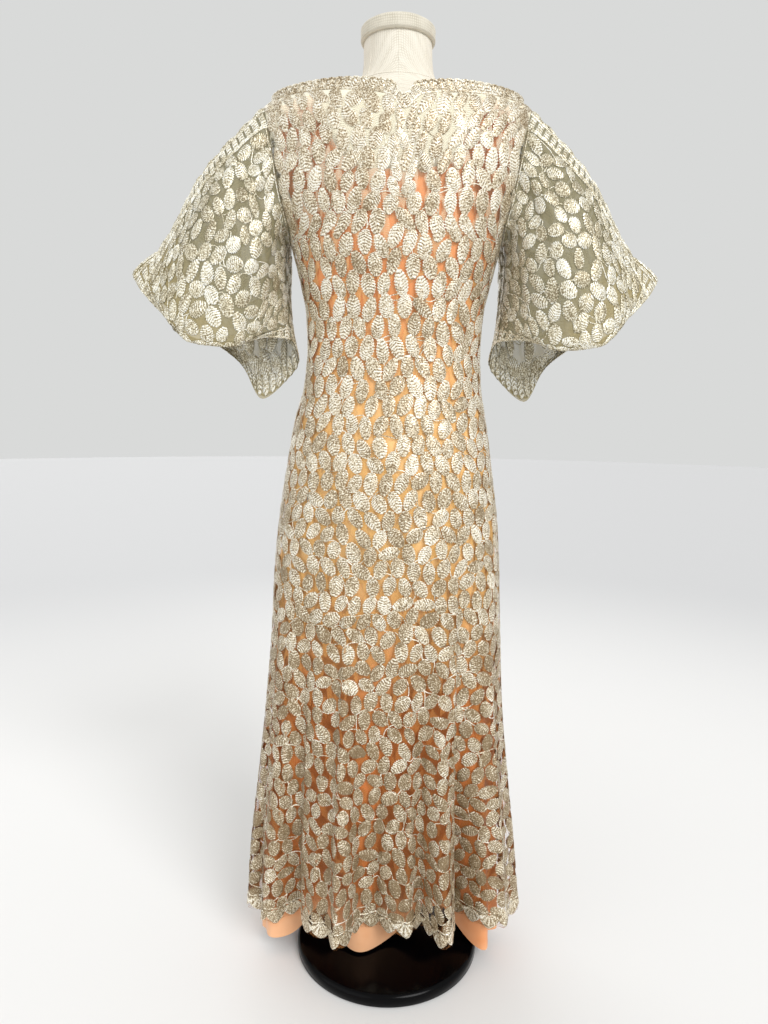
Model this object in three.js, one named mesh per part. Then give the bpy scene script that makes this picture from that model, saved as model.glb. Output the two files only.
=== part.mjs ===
import * as THREE from 'three';

// A floor-length lace gown with wide hollow sleeves and an under-slip, on a limbless dress form.
// Millimetres, Z up. The origin is on the floor under the middle of the round base.
// Turns are in degrees round the body: 0 is the middle of the gown's back (-Y), 90 is +X,
// 180 is the middle of the front (+Y). Left and right are the wearer's, so left is -X.

// driving sizes
const hemHeight = 80;
const scallopRise = 3;
const scallopDrop = 5;
const slipHemHeight = 26;
const laceThick = 1.5;
const slipThick = 1.2;
const trimThick = 1.4;
const seamGap = 0.3;
const layerGap = 0.85;
const neckBorderWidth = 23;
const cuffBorderWidth = 22;
const armBandWidth = 40;
const ribRise = 0.9;
const baseRadius = 163;
const baseThick = 21;
const poleRadius = 12.5;
const torsoBottom = 800;
const neckTop = 1536;
const capTop = 1560;
const capRadius = 58.6;

// the gown's sections: half width, depth behind and before the pole, side shift, oval power
const gownRows = [
  { height: 72, half: 237, back: 97, front: 122, shift: -13, power: 2.0 },
  { height: 200, half: 230, back: 101, front: 122, shift: -14, power: 2.0 },
  { height: 330, half: 217, back: 105, front: 120, shift: -13, power: 2.05 },
  { height: 470, half: 204, back: 109, front: 118, shift: -11, power: 2.1 },
  { height: 600, half: 196, back: 112, front: 116, shift: -8, power: 2.15 },
  { height: 700, half: 191, back: 115, front: 115, shift: -7.5, power: 2.15 },
  { height: 790, half: 183, back: 118, front: 114, shift: -6.5, power: 2.15 },
  { height: 870, half: 171, back: 116, front: 113, shift: -6, power: 2.1 },
  { height: 950, half: 158, back: 105, front: 110, shift: -5, power: 2.05 },
  { height: 1010, half: 145, back: 94, front: 103, shift: -2, power: 2.0 },
  { height: 1071, half: 141, back: 88, front: 98, shift: -0.5, power: 2.0 },
  { height: 1120, half: 143.5, back: 91, front: 103, shift: 0, power: 2.0 },
  { height: 1186, half: 156, back: 99, front: 122, shift: 1, power: 2.05 },
  { height: 1235, half: 169, back: 106, front: 137, shift: 0.5, power: 2.1 },
  { height: 1300, half: 200, back: 112, front: 138, shift: 0, power: 2.1 },
  { height: 1362, half: 215, back: 111, front: 118, shift: 0, power: 2.0 },
  { height: 1400, half: 218, back: 106, front: 102, shift: 0, power: 1.9 },
  { height: 1425, half: 216, back: 100, front: 90, shift: 0.5, power: 1.8 },
  { height: 1440, half: 211, back: 92, front: 79, shift: 1, power: 1.65 },
  { height: 1447, half: 196, back: 86, front: 73, shift: 2, power: 1.55 },
  { height: 1455, half: 176, back: 79, front: 66, shift: 3, power: 1.5 },
];

// the form's sections from the hips to the top of the neck
const formRows = [
  { height: 800, half: 173, back: 110, front: 105, shift: -5, power: 2.15 },
  { height: 870, half: 163, back: 109, front: 106, shift: -4, power: 2.1 },
  { height: 950, half: 150, back: 98, front: 103, shift: -3, power: 2.05 },
  { height: 1010, half: 138, back: 87, front: 96, shift: -1, power: 2.0 },
  { height: 1071, half: 134, back: 81, front: 91, shift: 0, power: 2.0 },
  { height: 1120, half: 136.5, back: 84, front: 96, shift: 0, power: 2.0 },
  { height: 1186, half: 149, back: 92, front: 115, shift: 1, power: 2.05 },
  { height: 1235, half: 160, back: 98, front: 126, shift: 0.5, power: 2.1 },
  { height: 1300, half: 176, back: 102, front: 125, shift: 0, power: 2.1 },
  { height: 1362, half: 189, back: 99, front: 103, shift: 0, power: 2.0 },
  { height: 1400, half: 193, back: 92, front: 86, shift: 0, power: 1.9 },
  { height: 1425, half: 189, back: 83, front: 73, shift: 0.5, power: 1.8 },
  { height: 1437, half: 176, back: 75, front: 64, shift: 1, power: 1.7 },
  { height: 1445, half: 150, back: 69, front: 59, shift: 1.5, power: 1.7 },
  { height: 1451, half: 118, back: 65, front: 57, shift: 2, power: 1.8 },
  { height: 1459, half: 92, back: 62, front: 56, shift: 2, power: 1.95 },
  { height: 1470, half: 68, back: 57, front: 54, shift: 1.5, power: 2.0 },
  { height: 1488, half: 57, back: 54, front: 52, shift: 1, power: 2.0 },
  { height: 1510, half: 53.5, back: 53, front: 52, shift: 0.5, power: 2.0 },
  { height: 1536, half: 53, back: 53, front: 53, shift: 0, power: 2.0 },
];

// how far the slip lies inside the gown's sections below the form
const slipReach = { low: 3, high: 5.4 };
const slipLift = 5;
const slipRows = [
  { height: 20, side: 27, back: 62, front: 58 },
  { height: 200, side: 24, back: 40, front: 38 },
  { height: 400, side: 14, back: 18, front: 20 },
  { height: 600, side: 10, back: 8, front: 10 },
  { height: 800, side: 7, back: 5, front: 6 },
];
const slipBlend = 70;

// flutes of the lace skirt: where each is, how wide, how far it stands out at the hem, where it starts
const gownFolds = [
  { turn: -74, width: 7, depth: 10, top: 620 },
  { turn: -66, width: 5, depth: -16, top: 560 },
  { turn: -55, width: 6, depth: 16, top: 700 },
  { turn: -41, width: 6.5, depth: -40, top: 740 },
  { turn: -27, width: 8.5, depth: 14, top: 760 },
  { turn: -15.5, width: 4.4, depth: 38, top: 740 },
  { turn: -4, width: 7, depth: -36, top: 720 },
  { turn: 9.5, width: 5.5, depth: 2, top: 640 },
  { turn: 18.5, width: 3.6, depth: -30, top: 660 },
  { turn: 26, width: 5.2, depth: 44, top: 790 },
  { turn: 39.5, width: 5.5, depth: -64, top: 800 },
  { turn: 58, width: 11, depth: 24, top: 720 },
  { turn: 80, width: 9, depth: 18, top: 640 },
  { turn: 96, width: 7, depth: -20, top: 600 },
  { turn: 112, width: 8, depth: 24, top: 690 },
  { turn: 126, width: 6.5, depth: -34, top: 740 },
  { turn: 140, width: 7, depth: 26, top: 760 },
  { turn: 153, width: 6, depth: -30, top: 700 },
  { turn: 166, width: 6.5, depth: 30, top: 740 },
  { turn: 179, width: 6, depth: -28, top: 690 },
  { turn: 192, width: 6.5, depth: 28, top: 760 },
  { turn: 205, width: 6.5, depth: -36, top: 740 },
  { turn: 220, width: 7.5, depth: 26, top: 700 },
  { turn: 235, width: 7, depth: -30, top: 720 },
  { turn: 249, width: 7, depth: 20, top: 660 },
  { turn: 262, width: 6, depth: -14, top: 600 },
];

// lobes of the slip's hem: lift is how far the hem rises there
const slipFolds = [
  { turn: -84, width: 10, depth: 8, lift: 0 },
  { turn: -60, width: 13, depth: 26, lift: 0 },
  { turn: -32, width: 10, depth: -24, lift: 46 },
  { turn: -9, width: 10.5, depth: 34, lift: 0 },
  { turn: 22, width: 12, depth: -20, lift: 50 },
  { turn: 36, width: 8, depth: -24, lift: 30 },
  { turn: 51, width: 10, depth: 50, lift: 0 },
  { turn: 84, width: 12, depth: 8, lift: 0 },
  { turn: 108, width: 10, depth: -14, lift: 20 },
  { turn: 130, width: 12, depth: 30, lift: 0 },
  { turn: 156, width: 11, depth: -16, lift: 24 },
  { turn: 182, width: 12, depth: 34, lift: 0 },
  { turn: 208, width: 11, depth: -14, lift: 20 },
  { turn: 232, width: 12, depth: 28, lift: 0 },
];
const slipFoldTop = 660;

// armhole: its middle height, half height, and how far it turns into the back and the front
const armholeMiddle = 1337.5;
const armholeReach = 102.5;
const armholeBack = 28;
const armholeFront = 30;

// slip neckline: low scoop between wide straps that cross the shoulder ridge
const scoopLow = { back: 1320, front: 1330 };
const strapInner = 128;
const strapOuter = 186;

// sleeve turns: 0 is the over-arm line, 90 the back, 180 the underarm, 270 the front.
// low is the puffed ring above the cuff, hem is the cuff edge; across is away from the body's middle
const sleeveRows = [
  { turn: 0, lowX: 374, lowY: 0, lowZ: 1229, hemX: 427, hemY: 0, hemZ: 1184 },
  { turn: 22, lowX: 381, lowY: -34, lowZ: 1190, hemX: 408, hemY: -31, hemZ: 1157 },
  { turn: 48, lowX: 367, lowY: -66, lowZ: 1128, hemX: 368, hemY: -56, hemZ: 1120 },
  { turn: 80, lowX: 310, lowY: -98, lowZ: 1069, hemX: 305, hemY: -68, hemZ: 1076 },
  { turn: 115, lowX: 252, lowY: -86, lowZ: 1064, hemX: 251, hemY: -56, hemZ: 1074 },
  { turn: 150, lowX: 201, lowY: -48, lowZ: 1094, hemX: 203, hemY: -34, hemZ: 1084 },
  { turn: 180, lowX: 174, lowY: -8, lowZ: 1116, hemX: 169, hemY: -4, hemZ: 1080 },
  { turn: 210, lowX: 169, lowY: 16, lowZ: 1100, hemX: 160, hemY: 16, hemZ: 1048 },
  { turn: 236, lowX: 186, lowY: 40, lowZ: 1072, hemX: 188, hemY: 33, hemZ: 1012 },
  { turn: 256, lowX: 220, lowY: 60, lowZ: 1060, hemX: 226, hemY: 45, hemZ: 986 },
  { turn: 284, lowX: 280, lowY: 80, lowZ: 1074, hemX: 270, hemY: 76, hemZ: 1050 },
  { turn: 320, lowX: 350, lowY: 60, lowZ: 1132, hemX: 354, hemY: 56, hemZ: 1112 },
  { turn: 344, lowX: 378, lowY: 28, lowZ: 1188, hemX: 404, hemY: 26, hemZ: 1156 },
];
const ringPlaces = { start: 0, middle: 0.45, low: 0.86, hem: 1 };

const radians = THREE.MathUtils.degToRad;
const group = new THREE.Group();

// smooth value of one column of a table between its rows, without overshoot
function along(rows, key, column, place) {
  const last = rows.length - 1;
  if (place <= rows[0][key]) return rows[0][column];
  if (place >= rows[last][key]) return rows[last][column];
  let i = 0;
  while (rows[i + 1][key] < place) i += 1;
  const slope = (k) => (rows[k + 1][column] - rows[k][column]) / (rows[k + 1][key] - rows[k][key]);
  const tangent = (k) => {
    if (k === 0) return slope(0);
    if (k === last) return slope(last - 1);
    const before = slope(k - 1);
    const after = slope(k);
    return before * after > 0 ? (2 * before * after) / (before + after) : 0;
  };
  const span = rows[i + 1][key] - rows[i][key];
  const t = (place - rows[i][key]) / span;
  const risen = t * t * (3 - 2 * t);
  const leaving = t * (1 - t) * (1 - t) * span * tangent(i);
  const arriving = t * t * (t - 1) * span * tangent(i + 1);
  return rows[i][column] + (rows[i + 1][column] - rows[i][column]) * risen + leaving + arriving;
}

function ovalPoint(rows, turn, height) {
  const at = (column) => along(rows, 'height', column, height);
  const sine = Math.sin(radians(turn));
  const cosine = Math.cos(radians(turn));
  const power = 2 / at('power');
  const across = Math.sign(sine) * Math.abs(sine) ** power * at('half');
  const depth = Math.abs(cosine) ** power * (cosine > 0 ? -at('back') : at('front'));
  return new THREE.Vector3(at('shift') + across, depth, height);
}

// level direction that points out of an oval
function ovalOut(rows, turn, height) {
  const step = 0.5;
  const tangent = ovalPoint(rows, turn + step, height).sub(ovalPoint(rows, turn - step, height));
  return new THREE.Vector3(tangent.y, -tangent.x, 0).normalize();
}

const wrapTurn = (turn) => THREE.MathUtils.euclideanModulo(turn + 180, 360) - 180;

function bell(turn, fold) {
  const away = wrapTurn(turn - fold.turn) / fold.width;
  return Math.exp(-away * away);
}

// how much of its full depth a fold has at a height
function growth(height, top, foot) {
  return Math.max(0, (top - height) / (top - foot)) ** 1.35;
}

function smoothMax(a, b, soft) {
  const middle = (a + b) / 2;
  return middle + Math.sqrt(((a - b) / 2) ** 2 + soft * soft);
}

// how far the slip stands out of the gown's section, below the form
function slipOut(turn, height) {
  const at = (column) => along(slipRows, 'height', column, height);
  const cosine = Math.cos(radians(turn));
  const inward = THREE.MathUtils.lerp(at('side'), cosine > 0 ? at('back') : at('front'), Math.abs(cosine));
  let out = 0;
  for (const fold of slipFolds) out += fold.depth * bell(turn, fold);
  return out * growth(height, slipFoldTop, slipHemHeight) - inward;
}

// over the form the slip lies off its side, and at the shoulders also above it
const formReach = (height) => (
  THREE.MathUtils.lerp(slipReach.low, slipReach.high, THREE.MathUtils.smoothstep(height, 1100, 1225))
);
const formLevel = (height) => (
  Math.max(height, torsoBottom) - slipLift * THREE.MathUtils.smoothstep(height, 1250, 1420)
);

function slipPoint(turn, height) {
  const onForm = THREE.MathUtils.clamp((height - torsoBottom + slipBlend) / slipBlend, 0, 1);
  const point = ovalPoint(gownRows, turn, height);
  if (onForm < 1) point.addScaledVector(ovalOut(gownRows, turn, height), slipOut(turn, height));
  const level = formLevel(height);
  const worn = ovalPoint(formRows, turn, level);
  worn.addScaledVector(ovalOut(formRows, turn, level), formReach(height));
  return point.lerp(worn.setZ(height), onForm);
}

function slipHem(turn) {
  let height = slipHemHeight;
  for (const fold of slipFolds) height += fold.lift * bell(turn, fold);
  return height;
}

// the slip's height at the shoulder, and how far the gown's wall lies off the slip's, more on flanks
const slipShoulder = 1430;
const gownClear = 3.1;
const flankClear = 3.8;

// the gown hangs in its own flutes, and lies on the slip where they meet
function gownPoint(turn, height) {
  const point = ovalPoint(gownRows, turn, height);
  const out = ovalOut(gownRows, turn, height);
  let own = 0;
  for (const fold of gownFolds) own += fold.depth * bell(turn, fold) * growth(height, fold.top, hemHeight);
  const under = slipPoint(turn, Math.min(height, slipShoulder)).setZ(height).sub(point).dot(out);
  const steep = flankClear * growth(height, slipFoldTop, hemHeight);
  return point.addScaledVector(out, smoothMax(own, under + gownClear + steep, 0.6));
}

// neckline: nearly level, with a small gathered notch at the middle of the back
function necklineHeight(turn) {
  const notch = 20 * bell(turn, { turn: 3, width: 5 });
  const dip = 9 * bell(turn, { turn: 3, width: 22 });
  const frontDip = 14 * bell(turn, { turn: 180, width: 40 });
  return 1455 - notch - dip - frontDip;
}

// half width of the slip at a height, and the height at which its shoulder ridge is that far across
const slipHalf = (height) => along(formRows, 'height', 'half', formLevel(height)) + formReach(height);

function ridgeHeight(across) {
  let low = 1400;
  let high = 1470;
  while (high - low > 0.02) {
    const middle = (low + high) / 2;
    if (slipHalf(middle) > across) low = middle;
    else high = middle;
  }
  return low;
}

// how far from the middle of the back or front a panel reaches at a height
function panelEdge(height, inFront) {
  const level = (height - armholeMiddle) / armholeReach;
  if (Math.abs(level) >= 1) return 90;
  const reach = inFront ? armholeFront : armholeBack;
  return 90 - reach * Math.sqrt(1 - level * level) ** 0.8;
}

// a place on a curved surface, with the direction that points out of it
function spot(surface, a, b, stepA, stepB) {
  const overA = surface(a + stepA, b).sub(surface(a - stepA, b));
  const overB = surface(a, b + stepB).sub(surface(a, b - stepB));
  return { point: surface(a, b), out: overA.cross(overB).normalize() };
}

// closed wall from a grid of middle places, with its outer side raised where asked.
// A mirrored wall splits its quads the other way, so that left and right are alike
function wall(grid, thick, raise = () => 0, mirrored = false) {
  const cols = grid.length - 1;
  const rows = grid[0].length - 1;
  const positions = [];
  const index = [];
  for (const side of [1, -1]) {
    for (let i = 0; i <= cols; i += 1) {
      for (let j = 0; j <= rows; j += 1) {
        const { point, out } = grid[i][j];
        const lift = side * thick / 2 + (side > 0 ? raise(i, j) : 0);
        positions.push(...point.clone().addScaledVector(out, lift).toArray());
      }
    }
  }
  const outer = (i, j) => i * (rows + 1) + j;
  const inner = (i, j) => (cols + 1) * (rows + 1) + outer(i, j);
  const quad = (a, b, c, d) => {
    if (mirrored) index.push(b, c, d, b, d, a);
    else index.push(a, b, c, a, c, d);
  };
  for (let i = 0; i < cols; i += 1) {
    for (let j = 0; j < rows; j += 1) {
      quad(outer(i, j), outer(i + 1, j), outer(i + 1, j + 1), outer(i, j + 1));
      quad(inner(i, j), inner(i, j + 1), inner(i + 1, j + 1), inner(i + 1, j));
    }
  }
  for (let i = 0; i < cols; i += 1) {
    quad(inner(i, 0), inner(i + 1, 0), outer(i + 1, 0), outer(i, 0));
    quad(outer(i, rows), outer(i + 1, rows), inner(i + 1, rows), inner(i, rows));
  }
  for (let j = 0; j < rows; j += 1) {
    quad(outer(0, j), outer(0, j + 1), inner(0, j + 1), inner(0, j));
    quad(inner(cols, j), inner(cols, j + 1), outer(cols, j + 1), outer(cols, j));
  }
  const geometry = new THREE.BufferGeometry();
  geometry.setAttribute('position', new THREE.Float32BufferAttribute(positions, 3));
  geometry.setIndex(index);
  return geometry;
}

// grid of points from a function of two shares, each 0 to 1
function gridOf(cols, rows, point) {
  const grid = [];
  for (let i = 0; i <= cols; i += 1) {
    const line = [];
    for (let j = 0; j <= rows; j += 1) line.push(point(i / cols, j / rows, i, j));
    grid.push(line);
  }
  return grid;
}

// draws a panel's side edges back from the next panel
function openSeams(grid) {
  const last = grid.length - 1;
  const pull = (from, to) => {
    const inward = to.point.clone().sub(from.point).normalize();
    from.point.addScaledVector(inward, seamGap * 0.7);
  };
  for (let j = 0; j < grid[0].length; j += 1) {
    pull(grid[0][j], grid[1][j]);
    pull(grid[last][j], grid[last - 1][j]);
  }
  return grid;
}

// a strip's places, lifted off the panel that it is sewn on
function lifted(grid, lift) {
  const raised = ({ point, out }) => ({ point: point.clone().addScaledVector(out, lift), out });
  return grid.map((line) => line.map(raised));
}

const cloth = (color) => new THREE.MeshStandardMaterial({ color, roughness: 0.7, metalness: 0 });
const lace = new THREE.MeshStandardMaterial({ color: '#b9b090', roughness: 0.45, metalness: 0.4 });
const band = new THREE.MeshStandardMaterial({ color: '#cdc6a8', roughness: 0.45, metalness: 0.4 });

function add(name, geometry, material) {
  const mesh = new THREE.Mesh(geometry, material.clone());
  mesh.name = name;
  group.add(mesh);
}

// share of a panel's width turned into a turn that gives columns of equal length
function evenTurns(cols, edge, height, inFront, surface) {
  const steps = 120;
  const middle = inFront ? 180 : 0;
  const turns = [];
  const lengths = [0];
  for (let k = 0; k <= steps; k += 1) turns.push(middle + edge * (2 * k / steps - 1));
  for (let k = 1; k <= steps; k += 1) {
    const here = surface(turns[k], height);
    lengths.push(lengths[k - 1] + here.distanceTo(surface(turns[k - 1], height)));
  }
  const even = [];
  for (let i = 0; i <= cols; i += 1) {
    const wanted = lengths[steps] * i / cols;
    let k = 1;
    while (k < steps && lengths[k] < wanted) k += 1;
    const share = (wanted - lengths[k - 1]) / (lengths[k] - lengths[k - 1]);
    even.push(turns[k - 1] + (turns[k] - turns[k - 1]) * share);
  }
  return even;
}

// heights of the rows that the gown and the slip share, then those of the gown's bodice
const bodyHeights = [200, 340, 490, 630, 750, 850, 930, 1000, 1071, 1150, 1235, 1258];
const columnSpan = 5.8;
const foldsSettle = 450;
const foldsGone = 950;

// a panel's columns: one on each flute, and more between them
function foldTurns(inFront) {
  const middle = inFront ? 180 : 0;
  const marks = gownFolds.map((fold) => (inFront ? fold.turn - middle : fold.turn));
  const own = [-90, ...marks.filter((turn) => Math.abs(turn) < 84), 90].sort((a, b) => a - b);
  const turns = [-90];
  for (let k = 1; k < own.length; k += 1) {
    const parts = Math.max(1, Math.round((own[k] - own[k - 1]) / columnSpan));
    for (let part = 1; part <= parts; part += 1) {
      turns.push(THREE.MathUtils.lerp(own[k - 1], own[k], part / parts));
    }
  }
  return turns;
}

// turns of a panel's columns at a height: on the flutes in the skirt, evenly spread in the bodice
function columnTurns(inFront, height) {
  const skirt = foldTurns(inFront);
  const cols = skirt.length - 1;
  const middle = inFront ? 180 : 0;
  const edge = panelEdge(height, inFront);
  const flat = Math.min(height, 1300);
  const even = evenTurns(cols, edge, flat, inFront, (turn, level) => ovalPoint(gownRows, turn, level));
  const share = THREE.MathUtils.smoothstep(height, foldsSettle, foldsGone);
  return skirt.map((turn, i) => middle + THREE.MathUtils.lerp(turn, even[i] - middle, share));
}

// heights of a bodice row at the armhole, and of the same row in the middle, below the neck border
const bodiceRows = [
  { side: 1290, below: 150 },
  { side: 1345, below: 98 },
  { side: 1400, below: 54 },
  { side: 1428, below: 26 },
  { side: 1440, below: 9 },
];
const borderShares = [1, 0.5, 0];

function belowNeck(turn, depth) {
  let height = necklineHeight(turn);
  let length = 0;
  let before = gownPoint(turn, height);
  while (length < depth) {
    height -= 0.25;
    const here = gownPoint(turn, height);
    length += here.distanceTo(before);
    before = here;
  }
  return height;
}

function bodiceHeight(row, turn) {
  const toSide = THREE.MathUtils.smoothstep(Math.abs(Math.sin(radians(turn))), 0.55, 0.99);
  return THREE.MathUtils.lerp(belowNeck(turn, neckBorderWidth) - row.below, row.side, toSide);
}

// the gown's back and front panels, from the hem to the neckline
function gownPanel(inFront) {
  const heights = [hemHeight, ...bodyHeights];
  const sideHeights = [...heights, ...bodiceRows.map((row) => row.side), 1450, 1450, 1450];
  const spacings = sideHeights.map((height) => columnTurns(inFront, height));
  return gridOf(spacings[0].length - 1, sideHeights.length - 1, (u, v, i, j) => {
    const turn = spacings[j][i];
    const scallop = j > 0 ? 0 : (i % 2 === 0 ? scallopRise : -scallopDrop);
    const inBodice = j - heights.length;
    const inBorder = inBodice - bodiceRows.length;
    let height = heights[j] + scallop;
    if (inBodice >= 0) height = inBorder < 0 ? bodiceHeight(bodiceRows[inBodice], turn) : 0;
    if (inBorder >= 0) height = belowNeck(turn, neckBorderWidth * borderShares[inBorder]);
    return spot(gownPoint, turn, height, 0.4, 1.5);
  });
}

const gownPanels = { back: openSeams(gownPanel(false)), front: openSeams(gownPanel(true)) };
add('gown_back', wall(gownPanels.back, laceThick), lace);
add('gown_front', wall(gownPanels.front, laceThick), lace);

// the slip's back and front, each with a low scoop and two straps
const strapShare = 0.64;
const strapStart = 1290;
const strapSteps = [0, 0.3, 0.55, 0.75, 0.9, 1];

function slipTop(share, inFront) {
  const away = Math.abs(share);
  const strapInnerTop = ridgeHeight(strapInner);
  if (away <= strapShare) {
    const across = strapInner * Math.sin(Math.PI / 2 * away / strapShare);
    const low = inFront ? scoopLow.front : scoopLow.back;
    return { across, height: low + (strapInnerTop - low) * (across / strapInner) ** 4 };
  }
  const across = strapInner + (strapOuter - strapInner) * (away - strapShare) / (1 - strapShare);
  return { across, height: ridgeHeight(across) };
}

function slipPanel(inFront) {
  const middle = inFront ? 180 : 0;
  const heights = [slipHemHeight, ...bodyHeights];
  const spacings = heights.map((height) => columnTurns(inFront, height));
  const strapTurns = columnTurns(inFront, strapStart);
  return gridOf(spacings[0].length - 1, bodyHeights.length + strapSteps.length, (u, v, i, j) => {
    if (j < heights.length) {
      const turn = spacings[j][i];
      return spot(slipPoint, turn, j === 0 ? slipHem(turn) : heights[j], 0.4, 1);
    }
    const start = strapTurns[i] - middle;
    const away = 2 * u - 1;
    const top = slipTop(away, inFront);
    const t = strapSteps[j - heights.length];
    const height = THREE.MathUtils.lerp(strapStart, top.height, Math.sin(t * Math.PI / 2));
    const power = along(formRows, 'height', 'power', formLevel(height));
    const reach = Math.min(1, top.across / slipHalf(height)) ** (power / 2);
    const end = THREE.MathUtils.radToDeg(Math.asin(reach)) * Math.sign(away);
    return spot(slipPoint, middle + THREE.MathUtils.lerp(start, end, Math.min(1, t * 1.3)), height, 0.4, 0.4);
  });
}

// a strap's end is drawn back from the ridge where it meets the other half
function openStraps(grid) {
  for (const line of grid) {
    const [before, end] = line.slice(-2);
    end.point.addScaledVector(before.point.clone().sub(end.point).normalize(), seamGap * 0.7);
  }
  return grid;
}

add('slip_back', wall(openStraps(openSeams(slipPanel(false))), slipThick), cloth('#e9b184'));
add('slip_front', wall(openStraps(openSeams(slipPanel(true))), slipThick), cloth('#e9b184'));

// sleeves: each line runs from the armhole over the puff to the cuff
function sleeveRow(turn) {
  const around = THREE.MathUtils.euclideanModulo(turn, 360);
  const wrapped = [
    { ...sleeveRows[sleeveRows.length - 1], turn: sleeveRows[sleeveRows.length - 1].turn - 360 },
    ...sleeveRows,
    { ...sleeveRows[0], turn: 360 },
    { ...sleeveRows[1], turn: sleeveRows[1].turn + 360 },
  ];
  const at = (column) => along(wrapped, 'turn', column, around);
  return {
    low: new THREE.Vector3(at('lowX'), at('lowY'), at('lowZ')),
    hem: new THREE.Vector3(at('hemX'), at('hemY'), at('hemZ')),
  };
}

// the gown's armhole edge runs straight from row to row, and the sleeve starts just inside it
const armholeRows = [1235, 1258, ...bodiceRows.map((row) => row.side)];
const sleeveClear = 1.7;

function sleeveStart(turn, side) {
  const inFront = Math.sin(radians(turn)) < 0;
  const height = armholeMiddle + armholeReach * Math.cos(radians(turn));
  let k = 1;
  while (k < armholeRows.length - 1 && armholeRows[k] < height) k += 1;
  const corner = (level) => {
    const edge = panelEdge(level, inFront);
    return gownPoint(side * (inFront ? 180 - edge : edge), level);
  };
  const share = (height - armholeRows[k - 1]) / (armholeRows[k] - armholeRows[k - 1]);
  const point = corner(armholeRows[k - 1]).lerp(corner(armholeRows[k]), share);
  const middle = new THREE.Vector3(side * 206, 0, armholeMiddle);
  return point.addScaledVector(middle.sub(point).normalize(), sleeveClear);
}

function sleevePoint(turn, share, side) {
  const row = sleeveRow(turn);
  const sine = Math.sin(radians(turn));
  const cosine = Math.cos(radians(turn));
  const start = sleeveStart(turn, side);
  const low = row.low.clone().setX(row.low.x * side);
  const hem = row.hem.clone().setX(row.hem.x * side);
  const middle = start.clone().lerp(low, 0.5);
  middle.add(new THREE.Vector3(side * (11 + 4 * cosine), -20 * sine, 5));
  const seam = new THREE.Vector3(side * (9 + cosine), -2.5 * sine, -5.5 - 3.5 * cosine).add(start);
  const line = [
    { place: ringPlaces.start, x: start.x, y: start.y, z: start.z },
    { place: 0.07, x: seam.x, y: seam.y, z: seam.z },
    { place: ringPlaces.middle, x: middle.x, y: middle.y, z: middle.z },
    { place: ringPlaces.low, x: low.x, y: low.y, z: low.z },
    { place: ringPlaces.hem, x: hem.x, y: hem.y, z: hem.z },
  ];
  const at = (column) => along(line, 'place', column, share);
  const ripple = 2.6 * Math.sin(radians(turn * 8)) * Math.sin(Math.PI * share) ** 2;
  return new THREE.Vector3(at('x'), at('y') - ripple * sine, at('z'));
}

const sleeveCols = 12;
const sleeveShares = [0, 0.07, 0.19, 0.32, 0.45, 0.59, 0.73, 0.84];
const cuffSteps = [0, 0.5, 1];
const bandHalfCols = 2;
const bandSteps = 2;
const trimLift = laceThick / 2 + layerGap + trimThick / 2;
const sides = [{ name: 'left', side: -1 }, { name: 'right', side: 1 }];

// turn at which a strip of a given width ends, counted round the sleeve from the over-arm line
function bandTurn(share, side, way) {
  let turn = 0;
  let length = 0;
  let before = sleevePoint(0, share, side);
  while (length < armBandWidth && Math.abs(turn) < 60) {
    turn += way;
    const here = sleevePoint(turn, share, side);
    length += here.distanceTo(before);
    before = here;
  }
  return turn;
}

// share of a sleeve's length at which its cuff border starts
function cuffShare(turn, side) {
  let share = 1;
  let length = 0;
  let before = sleevePoint(turn, share, side);
  while (length < cuffBorderWidth) {
    share -= 0.005;
    const here = sleevePoint(turn, share, side);
    length += here.distanceTo(before);
    before = here;
  }
  return share;
}

// half a sleeve, from the over-arm line to the underarm or back up the front
function sleeveHalf(side, inFront) {
  const rows = sleeveShares.length + cuffSteps.length;
  const surface = (turn, share) => sleevePoint(turn, THREE.MathUtils.clamp(share, 0, 1), side);
  return gridOf(sleeveCols, rows - 1, (u, v, i, j) => {
    const level = sleeveShares[j] ?? 1;
    const band = Math.abs(bandTurn(level, side, inFront ? -1 : 1));
    const k = inFront ? sleeveCols - i : i;
    const inBand = band * k / bandHalfCols;
    const beyond = THREE.MathUtils.lerp(band, 180, (k - bandHalfCols) / (sleeveCols - bandHalfCols));
    const away = k < bandHalfCols ? inBand : beyond;
    const turn = inFront ? 360 - away : away;
    const step = cuffSteps[j - sleeveShares.length] ?? 0;
    const share = j < sleeveShares.length ? level : THREE.MathUtils.lerp(cuffShare(turn, side), 1, step);
    const place = spot(surface, turn, share, 1.5, 0.008);
    place.out.multiplyScalar(side);
    return place;
  });
}

// a left sleeve's grid is turned round, so that its outer side stays outside
function sleeveWall(grid, thick, side, raise) {
  return wall(side > 0 ? grid : grid.toReversed(), thick, raise, side < 0);
}

// over-arm band of ladder blocks: it follows both halves, and every other row stands up as a rib
function armBand(front, back) {
  const columns = [...front.slice(-bandHalfCols - 1, -1), ...back.slice(0, bandHalfCols + 1)];
  return columns.map((line) => {
    const places = [line[0]];
    for (let j = 1; j < line.length; j += 1) {
      for (let step = 1; step <= bandSteps; step += 1) {
        const share = step / bandSteps;
        places.push({
          point: line[j - 1].point.clone().lerp(line[j].point, share),
          out: line[j - 1].out.clone().lerp(line[j].out, share).normalize(),
        });
      }
    }
    return places.slice(1);
  });
}

const bandRib = (i, j) => (j % 2 === 1 && i > 0 && i < 2 * bandHalfCols ? ribRise : 0);

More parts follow.
